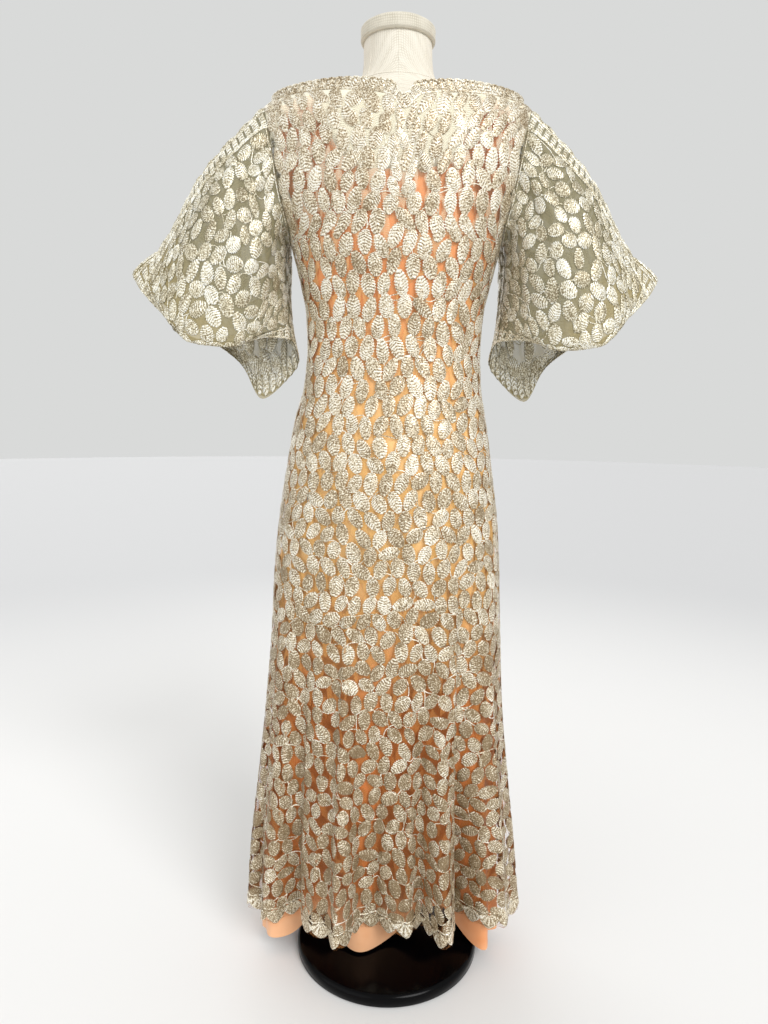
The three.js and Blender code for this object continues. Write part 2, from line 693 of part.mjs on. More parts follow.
for (const { name, side } of sides) {
  const back = sleeveHalf(side, false);
  const front = sleeveHalf(side, true);
  const armStrip = lifted(armBand(front, back), trimLift);
  const cuffRows = (line) => line.slice(-cuffSteps.length);
  const cuffBack = openSeams(lifted(back.slice(bandHalfCols).map(cuffRows), trimLift));
  const cuffFront = openSeams(lifted(front.slice(0, -bandHalfCols).map(cuffRows), trimLift));
  add(`arm_band_${name}`, sleeveWall(openSeams(armStrip), trimThick, side, bandRib), band);
  add(`cuff_${name}_back`, sleeveWall(cuffBack, trimThick, side), band);
  add(`cuff_${name}_front`, sleeveWall(cuffFront, trimThick, side), band);
  add(`sleeve_${name}_back`, sleeveWall(openSeams(back), laceThick, side), lace);
  add(`sleeve_${name}_front`, sleeveWall(openSeams(front), laceThick, side), lace);
}

// neckline border on the back and front: the panel's last rows, moved out, with raised ribs
const neckRib = (i, j) => (i % 2 === 1 && j === 1 ? ribRise : 0);

for (const [name, panel] of Object.entries(gownPanels)) {
  const strip = panel.map((line) => line.slice(-borderShares.length));
  add(`neck_border_${name}`, wall(lifted(strip, trimLift), trimThick, neckRib), band);
}

// the form's torso and neck: closed, smooth and whole, with a slightly rounded lower edge
const lowerRounding = 0.965;

function torso() {
  const cols = 32;
  const heights = formRows.map((row) => row.height).filter((height) => height !== 1470);
  const positions = [];
  const index = [];
  for (const height of heights) {
    const rounding = height === torsoBottom ? lowerRounding : 1;
    for (let i = 0; i < cols; i += 1) {
      const { x, y, z } = ovalPoint(formRows, i * 360 / cols, height);
      positions.push(x * rounding, y * rounding, z);
    }
  }
  const at = (i, j) => j * cols + i % cols;
  for (let j = 0; j < heights.length - 1; j += 1) {
    for (let i = 0; i < cols; i += 1) {
      index.push(at(i, j), at(i + 1, j), at(i + 1, j + 1), at(i, j), at(i + 1, j + 1), at(i, j + 1));
    }
  }
  const low = positions.length / 3;
  positions.push(0, 0, torsoBottom, 0, 0, neckTop);
  for (let i = 0; i < cols; i += 1) {
    index.push(at(i + 1, 0), at(i, 0), low);
    index.push(at(i, heights.length - 1), at(i + 1, heights.length - 1), low + 1);
  }
  const geometry = new THREE.BufferGeometry();
  geometry.setAttribute('position', new THREE.Float32BufferAttribute(positions, 3));
  geometry.setIndex(index);
  return geometry;
}

// a round piece turned about the pole's axis from a profile of radius and height
function turned(profile, segments) {
  const geometry = new THREE.LatheGeometry(profile.map(([r, z]) => new THREE.Vector2(r, z)), segments);
  return geometry.rotateX(Math.PI / 2);
}

const collarTop = 44;
const collarRadius = 24;
const edgeRound = 9;

function baseProfile() {
  const profile = [[0, 0], [baseRadius - 2, 0], [baseRadius, 2]];
  for (let k = 0; k <= 4; k += 1) {
    const angle = Math.PI / 2 * k / 4;
    profile.push([
      baseRadius - edgeRound + edgeRound * Math.cos(angle),
      baseThick - edgeRound + edgeRound * Math.sin(angle),
    ]);
  }
  profile.push([collarRadius + 6, baseThick + 1.5], [collarRadius, baseThick + 6]);
  profile.push([collarRadius - 3, collarTop], [0, collarTop]);
  return profile;
}

const gloss = new THREE.MeshStandardMaterial({ color: '#060607', roughness: 0.12 });
add('form_base', turned(baseProfile(), 40), gloss);

const poleLow = collarTop + seamGap;
const poleHigh = torsoBottom - seamGap;
const pole = new THREE.CylinderGeometry(poleRadius, poleRadius, poleHigh - poleLow, 20);
pole.rotateX(Math.PI / 2).translate(0, 0, (poleLow + poleHigh) / 2);
add('form_pole', pole, new THREE.MeshStandardMaterial({ color: '#101012', roughness: 0.3, metalness: 0.5 }));
add('form_torso', torso(), cloth('#d8d0bd'));

const capLow = neckTop + seamGap;
const capProfile = [
  [0, capLow], [52, capLow], [56.5, capLow + 3], [capRadius, capLow + 8], [capRadius, capTop - 8],
  [capRadius - 2, capTop - 2.5], [capRadius - 6, capTop], [0, capTop],
];
add('form_neck_cap', turned(capProfile, 32), cloth('#cfc8b6'));

export default group;
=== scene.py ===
# A floor-length gown of metallic leaf lace over a peach crepe slip, on a linen dress form.
# Tables and sizes are in millimetres and turns in degrees, as in the part's own source.
# Turn 0 is the middle of the gown's back (-Y), 90 is +X. Left and right are the wearer's.
import math

import bpy
import numpy as np
from mathutils import Matrix, Vector


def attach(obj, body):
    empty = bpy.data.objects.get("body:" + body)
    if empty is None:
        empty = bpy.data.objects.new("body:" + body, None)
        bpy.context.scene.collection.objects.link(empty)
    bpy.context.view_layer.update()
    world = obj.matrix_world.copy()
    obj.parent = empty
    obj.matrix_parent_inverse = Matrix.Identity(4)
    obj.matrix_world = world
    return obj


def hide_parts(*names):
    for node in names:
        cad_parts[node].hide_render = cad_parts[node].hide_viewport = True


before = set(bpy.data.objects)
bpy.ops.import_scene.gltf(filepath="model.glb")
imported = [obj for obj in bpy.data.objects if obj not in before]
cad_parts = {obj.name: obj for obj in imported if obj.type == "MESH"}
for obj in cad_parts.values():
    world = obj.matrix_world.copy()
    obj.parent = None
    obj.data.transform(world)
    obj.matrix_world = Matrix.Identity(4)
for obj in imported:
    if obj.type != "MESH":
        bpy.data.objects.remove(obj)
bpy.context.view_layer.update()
toMetres = 0.001
random = np.random.default_rng(31)


def table(columns, *rows):  # a short table as one array for each named column
    return dict(zip(columns.split(), np.array(rows, float).T))


def smoothstep(value, low, high):
    t = np.clip((value - low) / (high - low), 0, 1)
    return t * t * (3 - 2 * t)


def mix(a, b, share):
    return a + (b - a) * share


def along(rows, key, column, place):  # smooth value between a table's rows, without overshoot
    keys, values = rows[key], rows[column]
    steps = np.diff(keys)
    slopes = np.diff(values) / steps
    product = slopes[:-1] * slopes[1:]
    total = np.where(product > 0, slopes[:-1] + slopes[1:], 1)
    inner = np.where(product > 0, 2 * product / total, 0)
    tangents = np.concatenate([slopes[:1], inner, slopes[-1:]])
    place = np.clip(place, keys[0], keys[-1])
    i = np.clip(np.searchsorted(keys, place, side="right") - 1, 0, len(steps) - 1)
    t = (place - keys[i]) / steps[i]
    risen = values[i] + (values[i + 1] - values[i]) * t * t * (3 - 2 * t)
    return risen + steps[i] * t * (1 - t) * ((1 - t) * tangents[i] - t * tangents[i + 1])


# the gown's and the form's sections: half width, depth behind and before the pole, shift, oval power
gownRows = table(
    "height half back front shift power",
    (72, 237, 97, 122, -13, 2.0), (200, 230, 101, 122, -14, 2.0), (330, 217, 105, 120, -13, 2.05),
    (470, 204, 109, 118, -11, 2.1), (600, 196, 112, 116, -8, 2.15), (700, 191, 115, 115, -7.5, 2.15),
    (790, 183, 118, 114, -6.5, 2.15), (870, 171, 116, 113, -6, 2.1), (950, 158, 105, 110, -5, 2.05),
    (1010, 145, 94, 103, -2, 2.0), (1071, 141, 88, 98, -0.5, 2.0), (1120, 143.5, 91, 103, 0, 2.0),
    (1186, 156, 99, 122, 1, 2.05), (1235, 169, 106, 137, 0.5, 2.1), (1300, 200, 112, 138, 0, 2.1),
    (1362, 215, 111, 118, 0, 2.0), (1400, 218, 106, 102, 0, 1.9), (1425, 216, 100, 90, 0.5, 1.8),
    (1440, 211, 92, 79, 1, 1.65), (1447, 196, 86, 73, 2, 1.55), (1455, 176, 79, 66, 3, 1.5),
)
formRows = table(
    "height half back front shift power",
    (800, 173, 110, 105, -5, 2.15), (870, 163, 109, 106, -4, 2.1), (950, 150, 98, 103, -3, 2.05),
    (1010, 138, 87, 96, -1, 2.0), (1071, 134, 81, 91, 0, 2.0), (1120, 136.5, 84, 96, 0, 2.0),
    (1186, 149, 92, 115, 1, 2.05), (1235, 160, 98, 126, 0.5, 2.1), (1300, 176, 102, 125, 0, 2.1),
    (1362, 189, 99, 103, 0, 2.0), (1400, 193, 92, 86, 0, 1.9), (1425, 189, 83, 73, 0.5, 1.8),
    (1437, 176, 75, 64, 1, 1.7), (1445, 150, 69, 59, 1.5, 1.7), (1451, 118, 65, 57, 2, 1.8),
    (1459, 92, 62, 56, 2, 1.95), (1470, 68, 57, 54, 1.5, 2.0), (1488, 57, 54, 52, 1, 2.0),
    (1510, 53.5, 53, 52, 0.5, 2.0), (1536, 53, 53, 53, 0, 2.0),
)

form = {
    "columns": 128, "bottom": 800, "top": 1536, "rounding": 0.965, "seam": 0.9, "collar": 1474,
    "endShare": 0.02,
}

# the slip stands further off the form over the bust and lies closer under the shoulders
slip = {
    "hem": 26, "foldTop": 660, "blend": 70, "reachLow": 3, "reachHigh": 5.4, "bust": (1100, 1225), "lift": 5,
    "shoulders": (1250, 1420), "shoulder": 1430, "strapInner": 128, "strapOuter": 186, "strapShare": 0.64,
    "strapStart": 1290, "scoopBack": 1320, "scoopFront": 1330, "columns": 150, "rows": 150, "strapRows": 26,
    "hemLift": 300, "strapTurn": 1.3, "ridge": (1470, 1400),
}
# how far the slip lies inside the gown's sections below the form
slipRows = table(
    "height side back front",
    (20, 27, 62, 58), (200, 24, 40, 38), (400, 14, 18, 20), (600, 10, 8, 10), (800, 7, 5, 6),
)
# lobes of the slip's hem: lift is how far the hem rises there
slipFolds = table(
    "turn width depth lift",
    (-84, 10, 8, 0), (-60, 13, 26, 0), (-32, 10, -24, 46), (-9, 10.5, 34, 0), (22, 12, -20, 50),
    (36, 8, -24, 30), (51, 10, 50, 0), (84, 12, 8, 0), (108, 10, -14, 20), (130, 12, 30, 0),
    (156, 11, -16, 24), (182, 12, 34, 0), (208, 11, -14, 20), (232, 12, 28, 0),
)

gown = {
    "hem": 80, "clear": 3.1, "flankClear": 3.8, "columns": 220, "rows": 168, "bodiceRows": 26,
    "borderWidth": 23, "bodiceStart": 1258, "scallop": 6, "scallopPitch": 34, "neck": 1455, "soften": 0.36,
    "toNeck": (0, 90), "toTop": 160, "toSide": (0.55, 0.99),
}
# how far the neckline dips: the notch and the wide dip at the centre back, and the front
neckDips = table("turn width depth", (3, 5, 20), (3, 22, 9), (180, 40, 14))
# flutes of the lace skirt: where each is, how wide, how far it stands out at the hem, where it starts
gownFolds = table(
    "turn width depth top",
    (-74, 7, 10, 620), (-66, 5, -16, 560), (-55, 6, 16, 700), (-41, 6.5, -40, 740),
    (-27, 8.5, 14, 760), (-15.5, 4.4, 38, 740), (-4, 7, -36, 720), (9.5, 5.5, 2, 640),
    (18.5, 3.6, -30, 660), (26, 5.2, 44, 790), (39.5, 5.5, -64, 800), (58, 11, 24, 720),
    (80, 9, 18, 640), (96, 7, -20, 600), (112, 8, 24, 690), (126, 6.5, -34, 740),
    (140, 7, 26, 760), (153, 6, -30, 700), (166, 6.5, 30, 740), (179, 6, -28, 690),
    (192, 6.5, 28, 760), (205, 6.5, -36, 740), (220, 7.5, 26, 700), (235, 7, -30, 720),
    (249, 7, 20, 660), (262, 6, -14, 600),
)
# a crease falls off with one power at its sides and another at its ends
crease = {"degree": 3, "side": 1.6, "end": 4}
# soft creases of the lace: where, half length, lean from upright, half width, how far out
gownCreases = table(
    "turn height length lean width out",
    (-64, 300, 240, 1, 6, 5.5), (-49.5, 290, 250, 0, 5, 7.0), (-36, 270, 230, -1, 5, 6.5),
    (-26.6, 240, 190, 1, 4.5, 6.0), (-17.4, 340, 330, 0, 5, 8.0), (-12.5, 250, 220, 0, 4, 5.5),
    (1, 210, 150, 1, 5, 4.5), (11.8, 290, 250, 0, 4.5, 7.5), (20, 260, 220, 0, 4.5, 7.0),
    (33, 340, 340, 0, 5, 9.0), (59, 290, 250, 0, 6, 6.5), (-30, 640, 170, 3, 7, 2.0),
    (27, 660, 160, -4, 7, 2.0), (-48, 980, 60, 62, 7, 1.6), (44, 985, 70, -58, 7, 1.7),
    (-52, 1060, 55, 70, 6, 1.5), (50, 1075, 50, -66, 6, 1.5), (-58, 1170, 70, 40, 7, 1.8),
    (56, 1165, 75, -42, 7, 1.8), (-14, 1130, 110, 3, 6, 1.4), (12, 1180, 120, -4, 6, 1.5),
    (-30, 1290, 90, 10, 8, 1.6), (34, 1300, 85, -12, 8, 1.5), (0, 1350, 70, 0, 9, 1.2),
    (104, 280, 230, 1, 6, 4.6), (121, 300, 260, 0, 5, 5.4), (137, 260, 210, -1, 5, 4.8),
    (149, 330, 300, 0, 5, 6.2), (163, 270, 230, 1, 4.5, 4.8), (176, 240, 190, 0, 5, 4.0),
    (189, 310, 280, 0, 5, 6.0), (203, 270, 230, 1, 5, 5.0), (217, 320, 290, 0, 5, 6.2),
    (238, 280, 240, 0, 6, 4.8), (133, 1175, 70, 44, 8, 1.8),
    (229, 1180, 66, -40, 8, 1.8), (160, 1060, 80, 64, 7, 1.5), (204, 1050, 75, -60, 7, 1.4),
)

# the armhole: middle and half height, how far it cuts in behind and before, how deep the sleeve sits
armhole = {"middle": 1337.5, "reach": 102.5, "back": 28, "front": 30, "clear": 0.4, "across": 206}
armholeRows = np.array([1235, 1258, 1290, 1345, 1400, 1428, 1440], float)
# how far up the bodice a row is in the middle, and its height at the armhole
bodiceRows = table(
    "rise side", (0, 1258), (26, 1290), (78, 1345), (122, 1400), (150, 1428), (167, 1440), (176, 1446)
)

# sleeve turns: 0 is the over-arm line, 90 the back, 180 the underarm, 270 the front.
# low is the puffed ring above the cuff, hem is the cuff edge; x is away from the body's middle
sleeveRows = table(
    "turn lowX lowY lowZ hemX hemY hemZ",
    (-16, 378, 28, 1188, 404, 26, 1156), (0, 374, 0, 1229, 427, 0, 1184),
    (22, 381, -34, 1190, 408, -31, 1157), (48, 367, -66, 1128, 368, -56, 1120),
    (80, 310, -98, 1069, 305, -68, 1076), (115, 252, -86, 1064, 251, -56, 1074),
    (150, 201, -48, 1094, 203, -34, 1084), (180, 174, -8, 1116, 169, -4, 1080),
    (210, 169, 16, 1100, 160, 16, 1048), (236, 186, 40, 1072, 188, 33, 1012),
    (256, 220, 60, 1060, 226, 45, 986), (284, 280, 80, 1074, 270, 76, 1050),
    (320, 350, 60, 1132, 354, 56, 1112), (344, 378, 28, 1188, 404, 26, 1156),
    (360, 374, 0, 1229, 427, 0, 1184), (382, 381, -34, 1190, 408, -31, 1157),
)
sleeve = {
    "places": np.array([0, 0.07, 0.45, 0.86, 1]), "rows": 84, "columns": 66, "bandWidth": 62,
    "cuffWidth": 22, "puckers": 9, "pucker": 3.2, "lowStart": 4, "overlap": 2, "innerFrom": 0.45,
    "bandColumns": 41, "capOut": 9, "capDrop": 5.5, "puffOut": 11, "puffDepth": 20, "waves": 8, "wave": 2.6,
    "foldStart": 0.06, "puckerTurns": 15,
}
# the over-arm band from its middle line: where its blocks and cords lie
armBand = {
    "block": 40, "blockLength": 26, "blockWidth": 9.6, "blockPitch": 13, "cords": (24, 56, 60),
    "scallops": (8, 17), "fanPitch": 16, "fan": 2.5,
}
# folds of a sleeve, from the armhole down: turn, share of its length, half sizes, how far out
sleeveFolds = table(
    "turn share width length out",
    (52, 0.10, 7, 0.22, 2.6), (68, 0.16, 6, 0.30, -2.4), (84, 0.14, 7, 0.26, 3.0),
    (104, 0.20, 8, 0.34, -3.0), (124, 0.22, 8, 0.36, 3.2), (146, 0.26, 8, 0.40, -2.6),
    (164, 0.40, 8, 0.44, 2.4), (196, 0.36, 9, 0.40, -2.4), (222, 0.24, 8, 0.34, 2.8),
    (248, 0.20, 8, 0.34, -2.8), (274, 0.16, 7, 0.30, 2.8), (298, 0.14, 7, 0.26, -2.2),
    (96, 0.80, 14, 0.10, 2.0), (128, 0.84, 10, 0.08, -2.2), (60, 0.82, 12, 0.09, -1.8),
)


def ovalPoint(rows, turn, height):
    turn, height = np.broadcast_arrays(np.asarray(turn, float), np.asarray(height, float))
    half, back, front, shift, power = (along(rows, "height", key, height) for key in list(rows)[1:])
    sine, cosine = np.sin(np.radians(turn)), np.cos(np.radians(turn))
    across = np.sign(sine) * np.abs(sine) ** (2 / power) * half
    reach = np.where(cosine > 0, -back, front)
    return np.stack([shift + across, np.abs(cosine) ** (2 / power) * reach, height], axis=-1)


def ovalOut(rows, turn, height):  # level direction that points out of an oval
    turn = np.asarray(turn, float)
    tangent = ovalPoint(rows, turn + 0.5, height) - ovalPoint(rows, turn - 0.5, height)
    out = np.stack([tangent[..., 1], -tangent[..., 0], 0 * tangent[..., 0]], axis=-1)
    return out / np.linalg.norm(out, axis=-1, keepdims=True)


def wrapTurn(turn):
    return (turn + 180) % 360 - 180


def bell(turn, middle, width):
    return np.exp(-((wrapTurn(turn - middle) / width) ** 2))


def growth(height, top, foot):  # how much of its full depth a fold has at a height
    return np.maximum(0, (top - height) / (top - foot)) ** 1.35


def slipOut(turn, height):
    cosine = np.cos(np.radians(turn))
    side, back, front = (along(slipRows, "height", key, height) for key in ("side", "back", "front"))
    inward = mix(side, np.where(cosine > 0, back, front), np.abs(cosine))
    folds = sum(depth * bell(turn, at, width) for at, width, depth, lift in zip(*slipFolds.values()))
    return folds * growth(height, slip["foldTop"], slip["hem"]) - inward


def formReach(height):
    return mix(slip["reachLow"], slip["reachHigh"], smoothstep(height, *slip["bust"]))


def formLevel(height):
    return np.maximum(height, form["bottom"]) - slip["lift"] * smoothstep(height, *slip["shoulders"])


def slipPoint(turn, height):
    turn, height = np.broadcast_arrays(np.asarray(turn, float), np.asarray(height, float))
    onForm = np.clip((height - form["bottom"] + slip["blend"]) / slip["blend"], 0, 1)[..., None]
    level = formLevel(height)
    hung, worn = (
        ovalPoint(rows, turn, at) + ovalOut(rows, turn, at) * out[..., None]
        for rows, at, out in ((gownRows, height, slipOut(turn, height)), (formRows, level, formReach(height)))
    )
    worn[..., 2] = height
    return mix(hung, worn, onForm)


def creaseLift(turn, height):  # soft ridges laid along slanted lines
    lift = 0
    for at, level, length, lean, width, out in zip(*gownCreases.values()):
        # a degree is about 3 mm round the body
        across, up = wrapTurn(turn - at) * crease["degree"], height - level
        cosine, sine = math.cos(math.radians(lean)), math.sin(math.radians(lean))
        beside = (across * cosine - up * sine) / width
        beyond = (across * sine + up * cosine) / length
        lift = lift + out * np.exp(-np.abs(beside) ** crease["side"] - beyond ** crease["end"])
    return lift


def gownPoint(turn, height, creased=0):
    turn, height = np.broadcast_arrays(np.asarray(turn, float), np.asarray(height, float))
    point, out = ovalPoint(gownRows, turn, height), ovalOut(gownRows, turn, height)
    own = 0
    for at, width, depth, top in zip(*gownFolds.values()):
        own = own + depth * bell(turn, at, width) * growth(height, top, gown["hem"])
    under = slipPoint(turn, np.minimum(height, slip["shoulder"])) - point
    under = (under[..., :2] * out[..., :2]).sum(-1)
    steep = gown["flankClear"] * growth(height, slip["foldTop"], gown["hem"])
    laid = under + gown["clear"] + steep
    # the larger of the two, with a soft change from one to the other
    hang = (own + laid) / 2 + np.sqrt(((own - laid) / 2) ** 2 + gown["soften"])
    return point + out * (hang + creased * creaseLift(turn, height))[..., None]


def runOf(line):  # length along a line of points, from its start
    return np.concatenate([[0], np.cumsum(np.linalg.norm(np.diff(line, axis=0), axis=1))])


def pointsAt(wanted, run, line):  # points at the wanted lengths along a line
    return np.stack([np.interp(wanted, run, column) for column in line.T], axis=-1)


def centres(count):  # the middles of equal shares
    return (np.arange(count) + 0.5) / count


def necklineHeight(turn):
    height = gown["neck"]
    for at, width, depth in zip(*neckDips.values()):
        height = height - depth * bell(turn, at, width)
    return height


def belowNeck(turn, depths):  # heights on the gown at given lengths below the neckline
    heights = necklineHeight(turn)[:, None] - np.arange(0, 60, 0.5)
    lines = gownPoint(turn[:, None], heights)
    return np.stack([np.interp(depths, runOf(line), column) for line, column in zip(lines, heights)])


def panelEdge(height, inFront):  # how far round from its middle a panel reaches
    level = np.clip((height - armhole["middle"]) / armhole["reach"], -1, 1)
    return 90 - armhole["front" if inFront else "back"] * np.sqrt(1 - level ** 2) ** 0.8


def evenRows(points, columns):  # spreads each row's points evenly along its length
    runs = [runOf(row) for row in points]
    return np.stack([
        pointsAt(np.linspace(0, run[-1], columns), run, row) for run, row in zip(runs, points)
    ])


def makeCloth(points):  # rows of points, with the direction out of the cloth and its lengths both ways
    across, up = np.gradient(points, axis=1), np.gradient(points, axis=0)
    out = np.cross(across, up)
    out /= np.linalg.norm(out, axis=2, keepdims=True)
    width = np.linalg.norm(np.diff(points, axis=1), axis=2).sum(1)
    steps = np.linalg.norm(np.diff(points, axis=0), axis=2)
    rise = np.concatenate([np.zeros((1, points.shape[1])), np.cumsum(steps, axis=0)])
    return {"points": points, "out": out, "width": width, "rise": rise, "tall": rise[-1].mean()}


def sample(grid, share, level):  # value between a grid's points; share runs across, level up
    rows, columns = grid.shape[:2]
    x, y = np.clip(share, 0, 1) * (columns - 1), np.clip(level, 0, 1) * (rows - 1)
    i, j = np.minimum(x.astype(int), columns - 2), np.minimum(y.astype(int), rows - 2)
    x, y = (x - i)[..., None], (y - j)[..., None]
    return mix(mix(grid[j, i], grid[j, i + 1], x), mix(grid[j + 1, i], grid[j + 1, i + 1], x), y)


def onCloth(cloth, share, level, lift):
    out = sample(cloth["out"], share, level)
    out = out / np.linalg.norm(out, axis=-1, keepdims=True)
    return sample(cloth["points"], share, level) + out * np.asarray(lift)[..., None], out


def clothWidth(cloth, level):
    return np.interp(level, np.linspace(0, 1, len(cloth["width"])), cloth["width"])


def hexColour(code):  # an sRGB hex colour as Blender's linear red, green, blue and alpha
    parts = [int(code[k:k + 2], 16) / 255 for k in (1, 3, 5)]
    return tuple(p / 12.92 if p <= 0.04045 else ((p + 0.055) / 1.055) ** 2.4 for p in parts) + (1,)


def gridFaces(rows, columns):
    corner = np.arange(rows - 1)[:, None] * columns + np.arange(columns - 1)
    return np.stack([corner, corner + 1, corner + columns + 1, corner + columns], axis=-1).reshape(-1, 4)


def patchFaces(count, rows, columns):  # faces of many small grids, one after another
    return (np.arange(count)[:, None, None] * rows * columns + gridFaces(rows, columns)).reshape(-1, 4)


def joined(parts):  # several (points, faces, stitches) as one
    points, faces, stitches, start = [], [], [], 0
    for point, face, stitch in parts:
        points.append(point.reshape(-1, 3))
        faces.append(face + start)
        stitches.append(np.broadcast_to(stitch, point.shape).reshape(-1, 3))
        start += len(points[-1])
    return np.concatenate(points), np.concatenate(faces), np.concatenate(stitches)


def addPiece(name, points, faces, material, nodes=(), flat=None, stitch=None):
    points, faces = points.reshape(-1, 3) * toMetres, faces.astype(np.int32)
    mesh = bpy.data.meshes.new(name)
    mesh.vertices.add(len(points))
    mesh.vertices.foreach_set("co", points.ravel())
    mesh.loops.add(faces.size)
    mesh.loops.foreach_set("vertex_index", faces.ravel())
    mesh.polygons.add(len(faces))
    mesh.polygons.foreach_set("loop_start", np.arange(0, faces.size, 4, dtype=np.int32))
    mesh.update(calc_edges=True)
    mesh.validate()
    mesh.shade_smooth()
    if flat is not None:
        mesh.uv_layers.new(name="flat").data.foreach_set("uv", flat.reshape(-1, 2)[faces.ravel()].ravel())
    if stitch is not None:
        stitches = mesh.attributes.new("stitch", "FLOAT_VECTOR", "POINT")
        stitches.data.foreach_set("vector", stitch.ravel())
    mesh.materials.append(material)
    piece = bpy.data.objects.new(name, mesh)
    bpy.context.scene.collection.objects.link(piece)
    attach(piece, "root")
    if nodes:
        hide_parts(*nodes)
    return piece


def flatOf(cloth):  # flat metres across and up, for a weave that keeps its real pitch
    share = np.linspace(-0.5, 0.5, cloth["points"].shape[1])
    return np.stack([share * cloth["width"][:, None], cloth["rise"]], axis=-1) * toMetres


def addShell(name, cloth, material, nodes):  # a cloth's own surface
    faces = gridFaces(*cloth["points"].shape[:2])
    return addPiece(name, cloth["points"], faces, material, nodes, flatOf(cloth))


def addTrim(name, parts, material, nodes=()):  # several parts as one piece with its stitches
    points, faces, stitch = joined(parts)
    return addPiece(name, points, faces, material, nodes, stitch=stitch)


def placeShapes(cloth, shape, share, level, angle, length, width, lift):
    # lays one small relief on the cloth at each place, turned by its angle from the cloth's up
    a = shape["a"] * length[:, None, None]
    c = shape["c"] * width[:, None, None]
    sine, cosine = np.sin(angle)[:, None, None], np.cos(angle)[:, None, None]
    dx, dy = a * sine + c * cosine, a * cosine - c * sine
    rise = sample(cloth["rise"][..., None], share, np.ones(len(share)))[:, 0]
    levels = level[:, None, None] + dy / rise[:, None, None]
    shares = share[:, None, None] + dx / clothWidth(cloth, levels)
    return onCloth(cloth, shares, levels, shape["h"] + lift)[0]


def placeCords(cloth, share, level, radius, lift, profile):
    # share and level are (cords, points); each cord is a low roof or round that lies on the cloth
    middle, out = onCloth(cloth, share, level, np.full(share.shape, lift))
    ahead = np.gradient(middle, axis=1)
    side = np.cross(ahead, out)
    side /= np.maximum(np.linalg.norm(side, axis=2, keepdims=True), 1e-9)
    thick = np.broadcast_to(radius, share.shape)[..., None]
    rings = [middle + side * thick * beside + out * thick * up for beside, up in profile]
    return np.stack(rings, axis=2)


# the stitches of a plain cord and of the dull strip under a border
cordStitch, dullStitch = (0, 0.5, 0.42), (0.5, 0, 0.72)
threadProfile = [(-1, 0), (0, 1), (1, 0)]
cordProfile = [(-1, 0), (-0.7, 0.75), (0, 1), (0.7, 0.75), (1, 0)]


def addNode(tree, kind, inputs=None, **settings):  # adds a node with its settings, values and links
    made = tree.nodes.new(kind)
    for name, value in settings.items():
        setattr(made, name, value)
    for name, value in (inputs or {}).items():
        if isinstance(value, bpy.types.NodeSocket):
            tree.links.new(value, made.inputs[name])
        else:
            made.inputs[name].default_value = value
    return made


def startMaterial(name, **values):  # a material with one Principled shader and its uniform values
    material = bpy.data.materials.new(name)
    material.use_nodes = True
    tree = material.node_tree
    shader = tree.nodes["Principled BSDF"]
    for socket, value in values.items():
        shader.inputs[socket].default_value = value
    return material, tree, shader


def calc(tree, operation, *values):  # one step of arithmetic between numbers or sockets
    return addNode(tree, "ShaderNodeMath", dict(enumerate(values)), operation=operation).outputs[0]


def remap(tree, value, low, high, first=0.0, last=1.0, **settings):
    ends = {"Value": value, "From Min": low, "From Max": high, "To Min": first, "To Max": last}
    return addNode(tree, "ShaderNodeMapRange", ends, **settings).outputs[0]


def noise(tree, place, scale, detail=2.0):
    look = {"Vector": place, "Scale": scale, "Detail": detail}
    return addNode(tree, "ShaderNodeTexNoise", look).outputs["Fac"]


def splitVector(tree, vector):  # the three numbers of a vector
    return addNode(tree, "ShaderNodeSeparateXYZ", {0: vector}).outputs


def objectPlace(tree):
    return addNode(tree, "ShaderNodeTexCoord").outputs["Object"]


def linkBump(tree, shader, height, distance, strength):
    bump = addNode(tree, "ShaderNodeBump", {"Height": height, "Distance": distance, "Strength": strength})
    tree.links.new(bump.outputs["Normal"], shader.inputs["Normal"])


def paint(tree, shader, share, stops):  # the base colour runs through the stops
    ramp = addNode(tree, "ShaderNodeValToRGB", {"Fac": share})
    while len(ramp.color_ramp.elements) < len(stops):
        ramp.color_ramp.elements.new(0.5)
    for element, (place, code) in zip(ramp.color_ramp.elements, stops):
        element.position, element.color = place, hexColour(code)
    tree.links.new(ramp.outputs["Color"], shader.inputs["Base Color"])


def lameThread(name, shade, body, light):
    # silver-gilt lame thread, wrapped and machine-stitched: a broken, grainy painted glint in the base
    # colour, lighter on the ribs
    look = {
        "grain": 2.1, "glint": 30, "rib": (0.14, 0.3), "rim": (0.86, 0.98), "paintedGlint": (0.42, 0.6, 0.3),
        "cord": 0.5, "spread": 2.6, "dark": 1.57,
    }
    material, tree, shader = startMaterial(name, Metallic=0.3, Roughness=0.38)
    place = objectPlace(tree)
    # thread wraps are 0.4 mm; drawn 2.1 mm so that they show. The same grain also paints sparkle into the
    # colour as painted glints
    grain = noise(tree, place, 1000 / look["grain"])
    # a stitch holds the place across a motif, the rib it is on and how light its thread is, which on the gown
    # includes painted shade toward the hem
    stitch = addNode(tree, "ShaderNodeAttribute", attribute_name="stitch").outputs["Vector"]
    across, rib, tone = splitVector(tree, stitch)
    ribs = remap(tree, calc(tree, "PINGPONG", rib, 0.5), *look["rib"])
    rim = remap(tree, calc(tree, "ABSOLUTE", across), *look["rim"])
    # painted glint: the ribs are painted bright on some leaves and dull on others
    paintedGlint = remap(tree, noise(tree, place, 1000 / look["glint"]), *look["paintedGlint"])
    cords = calc(tree, "MULTIPLY", calc(tree, "MAXIMUM", ribs, rim), paintedGlint)
    lit = calc(tree, "MULTIPLY_ADD", cords, look["cord"], tone)
    share = calc(tree, "SUBTRACT", calc(tree, "MULTIPLY_ADD", grain, look["spread"], lit), look["dark"])
    # the ramp runs from a shade colour to a light colour: partly the thread's own tone, partly painted shade
    # and painted highlight
    paint(tree, shader, share, [(0.06, shade), (0.46, body), (0.84, light)])
    linkBump(tree, shader, calc(tree, "MULTIPLY_ADD", grain, 0.8, cords), 0.0006, 0.8)
    return material


